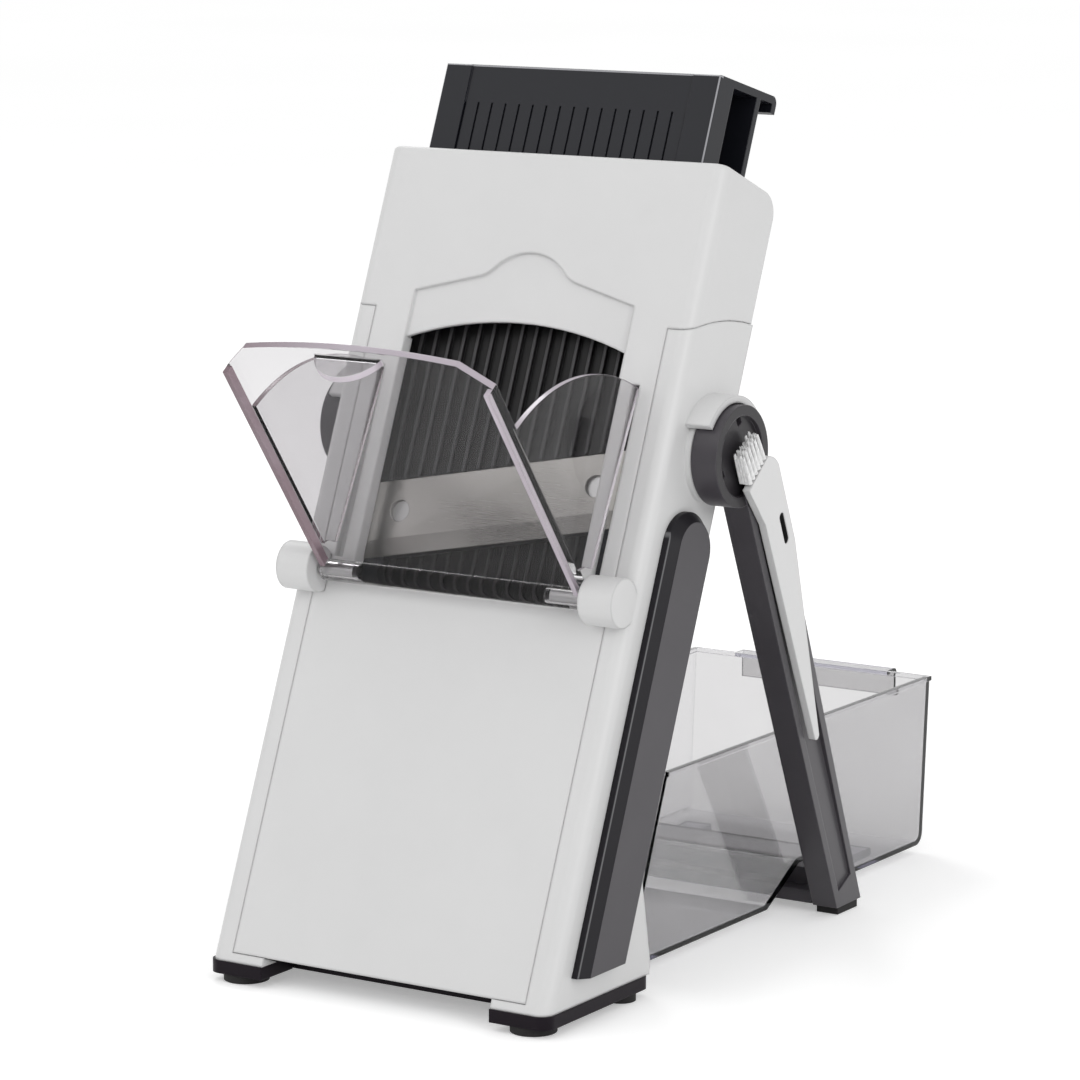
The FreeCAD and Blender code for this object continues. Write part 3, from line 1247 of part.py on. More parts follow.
def build_brush():
    """Flat brush handle with a hanging slot and pointed tip, and its block of bristles."""
    face = LEG_OUTER - leg_run(0) + dim.brush_gap
    outer = face + dim.brush_thickness
    handle = new_body("brush_handle")
    tip, back = -dim.brush_tip, dim.brush_back
    slot, middle = dim.brush_slot_width / 2, dim.brush_slot_middle
    slot_low = -dim.brush_slot_drop
    slot_high = slot_low + dim.brush_slot_length
    head_front = (-dim.brush_head_front, -dim.brush_head_drop)
    head_back = (dim.brush_top_back, -dim.brush_top_drop)
    pad(handle, "YZ_Plane", face, outer, [
        [head_front, (-dim.brush_neck_front, -dim.brush_neck_drop),
         (0, tip, dim.brush_tip_radius, CCW), (dim.brush_tip_width, tip),
         (back, -dim.brush_taper_drop),
         (back, -dim.brush_shoulder_drop, dim.brush_shoulder_radius, CCW), head_back],
        [(middle - slot, slot_low, slot, CCW), (middle, slot_low - slot, slot, CCW),
         (middle + slot, slot_low), (middle + slot, slot_high, slot, CCW),
         (middle, slot_high + slot, slot, CCW), (middle - slot, slot_high)]])
    place_on_leg_face(handle)
    keep(handle)
    bristles = new_body("brush_bristles")
    lift = dim.seam_gap
    pad(bristles, "YZ_Plane", outer - dim.bristle_depth, outer, [[
        (head_front[0] + dim.bristle_step, head_front[1] + dim.bristle_step / 2 + lift),
        (head_back[0] - dim.bristle_step / 2, head_back[1] + lift),
        (dim.bristle_back, dim.bristle_top), (-dim.bristle_front, dim.bristle_top - dim.bristle_step)]])
    place_on_leg_face(bristles)
    keep(bristles)


def build_all():
    """Build every sub-part in turn."""
    build_front_cover()
    build_side_frame()
    build_side_trim()
    build_base()
    build_guides()
    build_thickness_plate()
    build_pins()
    build_screws()
    build_handle()
    build_food_plate()
    build_blade()
    build_carriage_frame()
    build_springs()
    build_door()
    build_leg()
    build_leg_base()
    build_tray()
    build_brush()


def export_nodes():
    """Check every object and shape, then write one STEP file per node."""
    doc.recompute()
    failed = [item.Name for item in doc.Objects if {"Invalid", "Error"} & set(item.State)]
    if failed:
        raise RuntimeError(f"objects failed: {failed}")
    for node in NODES:
        if node.Shape.isNull() or not node.Shape.isValid():
            raise RuntimeError(f"{node.Label} has no valid shape")
    os.makedirs("parts", exist_ok=True)
    for node in NODES:
        node.Shape.exportStep(f"parts/{node.Label}.step")
        print(f"{node.Label}: {len(node.Shape.Solids)} solids, {node.Shape.Volume / 1000:.2f} cm3")


build_all()
export_nodes()
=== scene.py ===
"""Studio scene of a leaning push-down slicer: its finishes, fine pieces, light and camera."""

import json
import logging
import math
import random
from dataclasses import dataclass, field
from enum import Enum
from typing import Iterator, Mapping, Optional, Sequence, Union

import bmesh
import bpy
from mathutils import Matrix, Vector


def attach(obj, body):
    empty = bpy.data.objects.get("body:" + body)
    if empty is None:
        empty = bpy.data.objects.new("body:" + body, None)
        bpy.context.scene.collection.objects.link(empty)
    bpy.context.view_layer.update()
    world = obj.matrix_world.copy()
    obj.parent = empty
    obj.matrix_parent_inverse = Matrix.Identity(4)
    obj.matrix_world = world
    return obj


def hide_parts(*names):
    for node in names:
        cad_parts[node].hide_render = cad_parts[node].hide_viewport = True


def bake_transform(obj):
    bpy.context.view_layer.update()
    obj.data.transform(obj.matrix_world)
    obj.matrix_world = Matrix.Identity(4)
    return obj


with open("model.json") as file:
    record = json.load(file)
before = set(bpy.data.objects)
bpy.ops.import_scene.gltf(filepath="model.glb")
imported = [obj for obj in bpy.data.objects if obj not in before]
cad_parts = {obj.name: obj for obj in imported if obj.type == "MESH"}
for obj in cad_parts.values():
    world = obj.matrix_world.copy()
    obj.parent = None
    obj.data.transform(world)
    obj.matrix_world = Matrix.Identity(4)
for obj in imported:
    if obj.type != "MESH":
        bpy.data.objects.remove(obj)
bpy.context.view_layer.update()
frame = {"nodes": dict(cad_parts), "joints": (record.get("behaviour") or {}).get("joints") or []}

Triple = tuple[float, float, float]
Colour = Triple
Mesh = bmesh.types.BMesh
Key = Union[int, str]
Number = Union["Signal", float]
Span = tuple[float, float]

# Corners closer than this many metres count as one.
WELD = 1e-6
# The span that holds most of a noise's values, and its middle.
NOISE_CORE: Span = (0.3, 0.7)
NOISE_MIDDLE = 0.5

log = logging.getLogger("slicer_scene")


@dataclass
class TowerAxes:
    """The leaning tower's own axes: across, depth from the front face, height along it."""

    lean: float = math.radians(22.4)
    setback: float = 0.135
    sole: float = 0.007

    def placement(self) -> Matrix:
        """Return the matrix from the tower's axes to the part's frame."""
        return Matrix.Translation((0.0, -self.setback, self.sole)) @ Matrix.Rotation(-self.lean, 4, "X")

    def inward(self) -> Vector:
        """Return the direction in the part's frame that runs square into the tower's front."""
        return self.placement().to_3x3() @ Vector((0.0, 1.0, 0.0))

    def upward(self) -> Vector:
        """Return the direction in the part's frame that runs up the tower's front."""
        return self.placement().to_3x3() @ Vector((0.0, 0.0, 1.0))

    def facing_back(self, spot: Vector) -> Matrix:
        """Return a placement at a spot of the part's frame with Z square out of the tower's back."""
        turn = Matrix.Rotation(-self.lean, 4, "X") @ Matrix.Rotation(-math.pi / 2.0, 4, "X")
        return Matrix.Translation(spot) @ turn


@dataclass
class LegAxes:
    """The axes of the right leg's outer face, which turn with the leg's rake and splay."""

    rake: float = math.radians(27.7)
    splay: float = math.radians(3.1)

    def placement(self) -> Matrix:
        """Return the matrix from the face's axes to the part's frame."""
        hub = joint_place("leg_fold")
        turn = Matrix.Rotation(self.rake, 4, "X") @ Matrix.Rotation(self.splay, 4, "Y")
        return Matrix.Translation((0.0, hub[1], hub[2])) @ turn


class Signal:
    """An output of a shader node that takes part in Python arithmetic."""

    # Square metres over which the mask of a span rises to 1.
    SPAN_EDGE = 1e-7

    def __init__(self, shader: "Shader", socket: bpy.types.NodeSocket) -> None:
        """Wrap one output socket of a shader's node tree."""
        self.shader = shader
        self.socket = socket

    def _math(self, operation: str, left: Number, right: Number) -> "Signal":
        """Add one Math node.

        Args:
            operation: Name of the Math node's operation.
            left: First value.
            right: Second value.

        Returns:
            The node's result.
        """
        return self.shader.node("ShaderNodeMath", {"operation": operation}, {0: left, 1: right})

    def __add__(self, other: Number) -> "Signal":
        """Return self + other."""
        return self._math("ADD", self, other)

    def __radd__(self, other: Number) -> "Signal":
        """Return other + self."""
        return self._math("ADD", other, self)

    def __sub__(self, other: Number) -> "Signal":
        """Return self - other."""
        return self._math("SUBTRACT", self, other)

    def __rsub__(self, other: Number) -> "Signal":
        """Return other - self."""
        return self._math("SUBTRACT", other, self)

    def __mul__(self, other: Number) -> "Signal":
        """Return self * other."""
        return self._math("MULTIPLY", self, other)

    def __rmul__(self, other: Number) -> "Signal":
        """Return other * self."""
        return self._math("MULTIPLY", other, self)

    def __pow__(self, other: Number) -> "Signal":
        """Return self raised to other."""
        return self._math("POWER", self, other)

    def within(self, low: float, high: float) -> "Signal":
        """Stretch this value from one span to 0..1 and keep it within.

        Args:
            low: Value that becomes 0.
            high: Value that becomes 1.

        Returns:
            The stretched value.
        """
        inputs = {"Value": self, "From Min": low, "From Max": high}
        return self.shader.node("ShaderNodeMapRange", {"clamp": True}, inputs)

    def between(self, low: float, high: float) -> "Signal":
        """Mark where this length lies between two lengths.

        Args:
            low: The shorter length in metres.
            high: The longer length in metres.

        Returns:
            1 between them and 0 elsewhere.
        """
        return ((self - low) * (high - self)).within(0.0, self.SPAN_EDGE)

    def swing(self, reach: float) -> "Signal":
        """Return how far this noise strays from its middle, times a reach."""
        return (self - NOISE_MIDDLE) * reach


class Glow(Enum):
    """Rays that see the backdrop as white instead of in its lit colour."""

    CAMERA = "Is Camera Ray"
    GLOSSY = "Is Glossy Ray"
    TRANSMISSION = "Is Transmission Ray"


class Shader:
    """The node tree of a material or a world, filled by one node-making method."""

    SIDE_SPAN: Span = (0.88, 0.95)
    SLANT_SPAN: Span = (0.15, 0.4)
    SLANT_POWER = 4.0
    EDGE_SPAN: Span = (0.01, 0.25)
    NOISE_ROUGHNESS = 0.55
    BEVEL_SAMPLES = 6
    # Places of the Mix node's colour sockets.
    MIX_SHARE, MIX_FIRST, MIX_SECOND, MIX_RESULT = 0, 6, 7, 2

    def __init__(self, owner: Union[bpy.types.Material, bpy.types.World]) -> None:
        """Take hold of an owner's node tree and empty it."""
        owner.use_nodes = True
        self.owner = owner
        self.tree = owner.node_tree
        self.tree.nodes.clear()

    def node(self, kind: str, settings: Optional[Mapping[str, object]] = None,
             inputs: Optional[Mapping[Key, object]] = None, output: Key = 0) -> Optional[Signal]:
        """Add a node, set it up and feed it.

        Args:
            kind: The node's type name.
            settings: Properties, set before the inputs.
            inputs: Values or signals by socket name or place.
            output: The output wanted, by name or place.

        Returns:
            The wanted output, or None where the node has no outputs.
        """
        made = self.tree.nodes.new(kind)
        for name, value in (settings or {}).items():
            setattr(made, name, value)
        for key, value in (inputs or {}).items():
            if isinstance(value, Signal):
                self.tree.links.new(value.socket, made.inputs[key])
            else:
                made.inputs[key].default_value = value
        return Signal(self, made.outputs[output]) if len(made.outputs) else None

    def place(self) -> Signal:
        """Return the object's own coordinates in metres."""
        return self.node("ShaderNodeTexCoord", output="Object")

    def stretched(self, scale: Triple) -> Signal:
        """Return the object's own coordinates scaled by axis."""
        return self.node("ShaderNodeMapping", {}, {"Vector": self.place(), "Scale": scale})

    def noise(self, scale: float, detail: float = 2.0, at: Optional[Signal] = None) -> Signal:
        """Return a noise value around 0.5.

        Args:
            scale: Features per metre.
            detail: Number of finer layers.
            at: Coordinates, the object's own unless given.

        Returns:
            The noise.
        """
        inputs = {"Vector": at or self.place(), "Scale": scale, "Detail": detail,
                  "Roughness": self.NOISE_ROUGHNESS}
        return self.node("ShaderNodeTexNoise", {}, inputs, "Fac")

    def mix(self, share: Number, first: object, second: object) -> Signal:
        """Mix two colours.

        Args:
            share: Share of the second colour, from 0 to 1.
            first: A signal or four numbers.
            second: A signal or four numbers.

        Returns:
            The colour between them.
        """
        inputs = {self.MIX_SHARE: share, self.MIX_FIRST: first, self.MIX_SECOND: second}
        return self.node("ShaderNodeMix", {"data_type": "RGBA"}, inputs, self.MIX_RESULT)

    def blend(self, share: Number, first: Colour, second: Colour) -> Signal:
        """Return a colour between two plain colours."""
        return self.mix(share, (*first, 1.0), (*second, 1.0))

    def drift(self, noise: Signal, colour: Colour, low: float, high: float) -> Signal:
        """Let a colour drift with a noise.

        Args:
            noise: The noise.
            colour: The colour in the middle.
            low: Factor of its darkest shade.
            high: Factor of its lightest shade.

        Returns:
            The drifting colour.
        """
        return self.blend(noise.within(*NOISE_CORE), shaded(colour, low), shaded(colour, high))

    def sideways(self) -> Signal:
        """Return a mask that is 1 on faces that look to the part's left or right."""
        flat = self.node("ShaderNodeNewGeometry", output="True Normal")
        across = self.node("ShaderNodeSeparateXYZ", {}, {"Vector": flat}, "X")
        return (across * across).within(*self.SIDE_SPAN)

    def dot(self, first: object, second: object) -> Signal:
        """Return the dot product of two vectors, each a signal or three numbers."""
        inputs = {0: first, 1: second}
        return self.node("ShaderNodeVectorMath", {"operation": "DOT_PRODUCT"}, inputs, "Value")

    def along(self, way: Vector) -> Signal:
        """Return the place along a direction from the foot of the tower's front face, in metres."""
        return self.dot(self.place(), way) - way.dot(TowerAxes().placement().translation)

    def depth(self) -> Signal:
        """Return the depth behind the tower's front face, in metres."""
        return self.along(TowerAxes().inward())

    def height(self) -> Signal:
        """Return the height along the tower's front face, in metres."""
        return self.along(TowerAxes().upward())

    def slanted(self) -> Signal:
        """Return a mask that is 1 on rounded edges and 0 on faces square to the tower's axes."""
        flat = self.node("ShaderNodeNewGeometry", output="True Normal")
        columns = TowerAxes().placement().to_3x3().col
        parts = [self.dot(flat, axis) ** self.SLANT_POWER for axis in columns]
        return (1.0 - sum(parts[1:], parts[0])).within(*self.SLANT_SPAN)

    def from_axis(self, spot: Sequence[float]) -> Signal:
        """Return the distance from the line along X through a spot, in metres."""
        inputs: dict[Key, object] = {0: self.place(), 1: (0.0, 1.0, 1.0)}
        flat = self.node("ShaderNodeVectorMath", {"operation": "MULTIPLY"}, inputs)
        inputs = {0: flat, 1: (0.0, spot[1], spot[2])}
        return self.node("ShaderNodeVectorMath", {"operation": "DISTANCE"}, inputs, "Value")

    def in_box(self, axes: Matrix, low: Sequence[float], high: Sequence[float]) -> Signal:
        """Return a mask that is 1 inside a box.

        Args:
            axes: Placement of the box's axes in the part's frame.
            low: Its lowest corner in those axes.
            high: Its highest corner in those axes.

        Returns:
            The mask.
        """
        back = axes.inverted()
        inputs = {"Vector": self.place(), "Location": tuple(back.translation),
                  "Rotation": tuple(back.to_euler())}
        spot = self.node("ShaderNodeMapping", {}, inputs)
        sides = [self.node("ShaderNodeSeparateXYZ", {}, {"Vector": spot}, axis).between(*span)
                 for axis, span in enumerate(zip(low, high))]
        return sides[0] * sides[1] * sides[2]

    def rounded(self, radius: float) -> Signal:
        """Return a normal that runs smoothly over sharp edges."""
        return self.node("ShaderNodeBevel", {"samples": self.BEVEL_SAMPLES}, {"Radius": radius})

    def edge(self, normal: Signal) -> Signal:
        """Return a mask that is 1 along sharp edges and 0 elsewhere."""
        flat = self.node("ShaderNodeNewGeometry", output="True Normal")
        return (1.0 - self.dot(normal, flat)).within(*self.EDGE_SPAN)

    def bump(self, height: Signal, depth: float, normal: Optional[Signal] = None) -> Signal:
        """Return a normal bent by a height.

        Args:
            height: Height from 0 to 1.
            depth: What a height of 1 stands for, in metres.
            normal: Normal to bend, the surface's own unless given.

        Returns:
            The bent normal.
        """
        inputs: dict[Key, object] = {"Height": height, "Distance": depth, "Strength": 1.0}
        if normal is not None:
            inputs["Normal"] = normal
        return self.node("ShaderNodeBump", {}, inputs)

    def shown(self) -> Signal:
        """Return 1 for what the eye, a mirror or a clear piece sees, and 0 for what lights the part."""
        first, *others = [self.node("ShaderNodeLightPath", output=ray.value) for ray in Glow]
        return sum(others, first).within(0.0, 1.0)

    def close(self, surface: Signal, volume: Optional[Signal] = None) -> bpy.types.ID:
        """Connect the tree's output.

        Args:
            surface: The surface shader.
            volume: The volume shader, where there is one.

        Returns:
            The tree's owner.
        """
        kind = "World" if isinstance(self.owner, bpy.types.World) else "Material"
        inputs = {"Surface": surface}
        if volume is not None:
            inputs["Volume"] = volume
        self.node("ShaderNodeOutput" + kind, {}, inputs)
        return self.owner

    def principled(self, inputs: Mapping[Key, object], volume: Optional[Signal] = None) -> bpy.types.ID:
        """Close the tree with a Principled surface, fed by its sockets' names, and return its owner."""
        return self.close(self.node("ShaderNodeBsdfPrincipled", {}, inputs), volume)


def new_shader(name: str) -> Shader:
    """Return the empty node tree of a new material."""
    return Shader(bpy.data.materials.new(name))


def grey(level: float) -> Colour:
    """Return a colour without hue."""
    return (level, level, level)


def shaded(colour: Colour, factor: float) -> Colour:
    """Return a colour made lighter or darker."""
    return tuple(min(1.0, part * factor) for part in colour)


class Grain(Enum):
    """Surface textures of moulded plastic: features per metre and depth in metres."""

    SATIN = (3800.0, 0.000006)
    SPARK = (2600.0, 0.000018)


@dataclass(frozen=True)
class Moulded:
    """Opaque moulded plastic with a fine grain, faint clouding and softened edges that carry a painted
    highlight.
    """

    name: str
    colour: Colour
    roughness: float
    grain: Grain
    softness: float = 0.0006
    clouding: float = 0.05
    edge_highlight: float = 0.4
    gloss: float = 0.5
    bending: float = 1.5
    cloud_scale: float = 45.0
    cloud_rough: float = 0.12
    grain_rough: float = 0.10
    edge_rough: float = 0.05
    edge_share: float = 0.6

    def _cloudy(self, shader: Shader, colour: Colour, cloud: Signal) -> Signal:
        """Return a colour that drifts a little lighter and darker with the clouding."""
        return shader.drift(cloud, colour, 1.0 - self.clouding, 1.0 + self.clouding)

    def _layers(self, shader: Shader) -> list[tuple[Signal, Colour]]:
        """Return masks with the colours that lie over the plastic's own where they are 1, in order."""
        return []

    def _tone(self, shader: Shader, cloud: Signal) -> Signal:
        """Lay the colours over each other.

        Args:
            shader: The material's node tree.
            cloud: The noise of its clouding.

        Returns:
            The plastic's colour over its faces.
        """
        tone = self._cloudy(shader, self.colour, cloud)
        for mask, colour in self._layers(shader):
            tone = shader.mix(mask, tone, self._cloudy(shader, colour, cloud))
        return tone

    def material(self) -> bpy.types.Material:
        """Build the plastic's node material."""
        shader = new_shader(self.name)
        scale, depth = self.grain.value
        cloud = shader.noise(self.cloud_scale, detail=3.0)
        fine = shader.noise(scale, detail=1.0)
        normal = shader.rounded(self.softness)
        edge = shader.edge(normal)
        # Painted highlight: the edges take a lighter shade of the plastic's colour.
        light = shaded(self.colour, 1.0 + self.edge_highlight)
        base = shader.mix(edge * self.edge_share, self._tone(shader, cloud), (*light, 1.0))
        rough = self.roughness + cloud.swing(self.cloud_rough) + fine.swing(self.grain_rough)
        rough = rough - edge * self.edge_rough
        return shader.principled({
            "Base Color": base, "Roughness": rough, "IOR": self.bending,
            "Specular IOR Level": self.gloss, "Normal": shader.bump(fine, depth, normal)})


@dataclass(frozen=True)
class Flanked(Moulded):
    """Moulded plastic whose left and right faces are painted paler than the rest, as painted light."""

    painted_side_light: Colour = (0.09, 0.09, 0.09)

    def _layers(self, shader: Shader) -> list[tuple[Signal, Colour]]:
        """Add the painted light: a paler colour on faces that look left or right."""
        return [*super()._layers(shader), (shader.sideways(), self.painted_side_light)]


@dataclass(frozen=True)
class Lined(Flanked):
    """Flanked plastic with one painted highlight line along its front edge."""

    line: Colour = (0.3, 0.3, 0.3)
    line_depth: Span = (0.0, 0.0)

    def _layers(self, shader: Shader) -> list[tuple[Signal, Colour]]:
        """Add the colour of the painted highlight line."""
        return [*super()._layers(shader), (shader.depth().between(*self.line_depth), self.line)]


@dataclass(frozen=True)
class Hubbed(Flanked):
    """Flanked plastic whose round hubs stay dark on their left and right faces."""

    hub: Colour = (0.02, 0.02, 0.02)
    hub_radius: float = 0.0172

    def _layers(self, shader: Shader) -> list[tuple[Signal, Colour]]:
        """Add the darker colour of the hubs' ends."""
        away = shader.from_axis(joint_place("leg_fold"))
        end = shader.sideways() * away.between(-self.hub_radius, self.hub_radius)
        return [*super()._layers(shader), (end, self.hub)]


@dataclass(frozen=True)
class Edged(Moulded):
    """Moulded plastic whose rounded front edges and top edge are painted pale, a painted highlight."""

    front_highlight: Colour = (0.3, 0.3, 0.3)
    front_highlight_depth: float = 0.0
    top_highlight_height: Span = (0.0, 0.0)

    def _layers(self, shader: Shader) -> list[tuple[Signal, Colour]]:
        """Add the painted highlight on the front's edges and top edge."""
        edges = (shader.slanted() + shader.height().between(*self.top_highlight_height)).within(0.0, 1.0)
        front = edges * shader.depth().between(0.0, self.front_highlight_depth)
        return [*super()._layers(shader), (front, self.front_highlight)]


@dataclass(frozen=True)
class Slotted(Moulded):
    """Moulded plastic with a shaded hanging slot, placed in the axes of the leg's face."""

    shade: Colour = (0.03, 0.03, 0.03)
    slot_low: Triple = (0.0, 0.0, 0.0)
    slot_high: Triple = (0.0, 0.0, 0.0)

    def _layers(self, shader: Shader) -> list[tuple[Signal, Colour]]:
        """Add the darker colour inside the slot."""
        inside = shader.in_box(LegAxes().placement(), self.slot_low, self.slot_high)
        return [*super()._layers(shader), (inside, self.shade)]


@dataclass(frozen=True)
class Ribbed(Moulded):
    """Moulded plastic whose upright ribs are painted pale along their crests, a painted highlight."""

    crest_highlight: Colour = (0.03, 0.03, 0.03)
    crest_depth: float = 0.0
    fade: float = 0.0004

    def _layers(self, shader: Shader) -> list[tuple[Signal, Colour]]:
        """Add the painted highlight on the ribs' crests."""
        crests = shader.depth().within(self.crest_depth + self.fade, self.crest_depth)
        return [*super()._layers(shader), (crests, self.crest_highlight)]


@dataclass(frozen=True)
class Clear:
    """Clear moulded plastic with faint flow marks and scuffs, hazy or tinted in its depth where asked."""

    name: str
    colour: Colour
    haze: float = 0.0
    mirror: float = 1.0
    bending: float = 1.49
    roughness: float = 0.03
    tint: Colour = (1.0, 1.0, 1.0)
    density: float = 0.0
    softness: float = 0.0006
    drift: Span = (0.98, 1.01)
    flow_scale: float = 28.0
    flow_depth: float = 0.00004
    scuff_scale: Triple = (900.0, 220.0, 220.0)
    scuff_span: Span = (0.58, 0.78)
    scuff_rough: float = 0.05

    def _tone(self, shader: Shader, flow: Signal) -> Signal:
        """Choose the plastic's colour, which drifts a little with its flow marks.

        Args:
            shader: The material's node tree.
            flow: The noise of its flow marks.

        Returns:
            The colour.
        """
        return shader.drift(flow, self.colour, *self.drift)

    def material(self) -> bpy.types.Material:
        """Build the clear plastic's node material."""
        shader = new_shader(self.name)
        marks = shader.noise(1.0, detail=4.0, at=shader.stretched(self.scuff_scale))
        scuff = marks.within(*self.scuff_span)
        flow = shader.noise(self.flow_scale)
        inputs = {
            "Base Color": self._tone(shader, flow), "IOR": self.bending,
            "Roughness": self.roughness + scuff * self.scuff_rough,
            "Specular Tint": (*grey(self.mirror), 1.0), "Transmission Weight": 1.0 - self.haze,
            "Normal": shader.bump(flow, self.flow_depth, shader.rounded(self.softness))}
        return shader.principled(inputs, self._depths(shader) if self.density else None)

    def _depths(self, shader: Shader) -> Signal:
        """Return the tint of the plastic's depth."""
        inputs = {"Color": (*self.tint, 1.0), "Density": self.density}
        return shader.node("ShaderNodeVolumeAbsorption", {}, inputs)


@dataclass(frozen=True)
class ClearRim(Clear):
    """Rim of clear plastic that runs from a dark colour on the part's left, a painted shade, to its own on
    the right.
    """

    left: Colour = (0.2, 0.2, 0.2)
    turn: Span = (-0.052, 0.0)
    wander: float = 0.03

    def _tone(self, shader: Shader, flow: Signal) -> Signal:
        """Return the rim's colour across the part, with its painted shade on the left."""
        across = shader.node("ShaderNodeSeparateXYZ", {}, {"Vector": shader.place()}, "X")
        share = (across + flow.swing(self.wander)).within(*self.turn)
        return shader.blend(share, self.left, self.colour)


class Lay(Enum):
    """Directions in which steel is ground, as scales along X, Y and Z."""

    ALONG = (60.0, 4200.0, 4200.0)
    ROUND = (4200.0, 240.0, 240.0)
    EVEN = (1500.0, 1500.0, 1500.0)


@dataclass(frozen=True)
class Steel:
    """Ground or drawn steel with fine lines and a smoky mottle, part faint bloom and part painted
    reflection.
    """

    name: str
    colour: Colour
    roughness: float
    lay: Lay
    bloom_and_reflection: float = 0.1
    bloom_and_reflection_scale: float = 34.0
    bloom_rough: float = 0.16
    line_depth: float = 0.0000006
    line_rough: float = 0.10
    softness: float = 0.0003

    def material(self) -> bpy.types.Material:
        """Build the steel's node material."""
        shader = new_shader(self.name)
        lines = shader.noise(1.0, detail=3.0, at=shader.stretched(self.lay.value))
        bloom_and_reflection = shader.noise(self.bloom_and_reflection_scale, detail=1.0)
        normal = shader.rounded(self.softness)
        # Lighter and darker patches: a faint bloom, and where strong, as on the blade, painted reflection.
        base = shader.drift(bloom_and_reflection, self.colour, 1.0 - self.bloom_and_reflection, 1.0 + self.bloom_and_reflection)
        rough = self.roughness + lines.swing(self.line_rough) + bloom_and_reflection.swing(self.bloom_rough)
        return shader.principled({
            "Base Color": base, "Roughness": rough, "Metallic": 1.0,
            "Normal": shader.bump(lines, self.line_depth, normal)})


@dataclass(frozen=True)
class Rubber:
    """Matte black rubber with a fine speckle."""

    name: str
    colour: Colour
    roughness: float = 0.78
    softness: float = 0.0005
    speckle_scale: float = 2200.0
    speckle_depth: float = 0.00003
    speckle_rough: float = 0.2
    dust_scale: float = 140.0
    dust_span: Span = (0.45, 0.8)
    dust_shade: float = 2.2

    def material(self) -> bpy.types.Material:
        """Build the rubber's node material."""
        shader = new_shader(self.name)
        speckle = shader.noise(self.speckle_scale)
        dust = shader.noise(self.dust_scale, detail=3.0).within(*self.dust_span)
        base = shader.blend(dust, self.colour, shaded(self.colour, self.dust_shade))
        return shader.principled({
            "Base Color": base, "Roughness": self.roughness + speckle.swing(self.speckle_rough),
            "Normal": shader.bump(speckle, self.speckle_depth, shader.rounded(self.softness))})


@dataclass(frozen=True)
class Nylon:
    """White nylon filament, a little lighter and darker from one filament to the next."""

    name: str
    colour: Colour
    roughness: float = 0.42
    drift: Span = (0.82, 1.05)
    strand_scale: Triple = (1400.0, 1400.0, 120.0)
    strand_rough: float = 0.2

    def material(self) -> bpy.types.Material:
        """Build the nylon's node material."""
        shader = new_shader(self.name)
        strand = shader.noise(1.0, detail=1.0, at=shader.stretched(self.strand_scale))
        base = shader.drift(strand, self.colour, *self.drift)
        return shader.principled({
            "Base Color": base, "Roughness": self.roughness + strand.swing(self.strand_rough)})


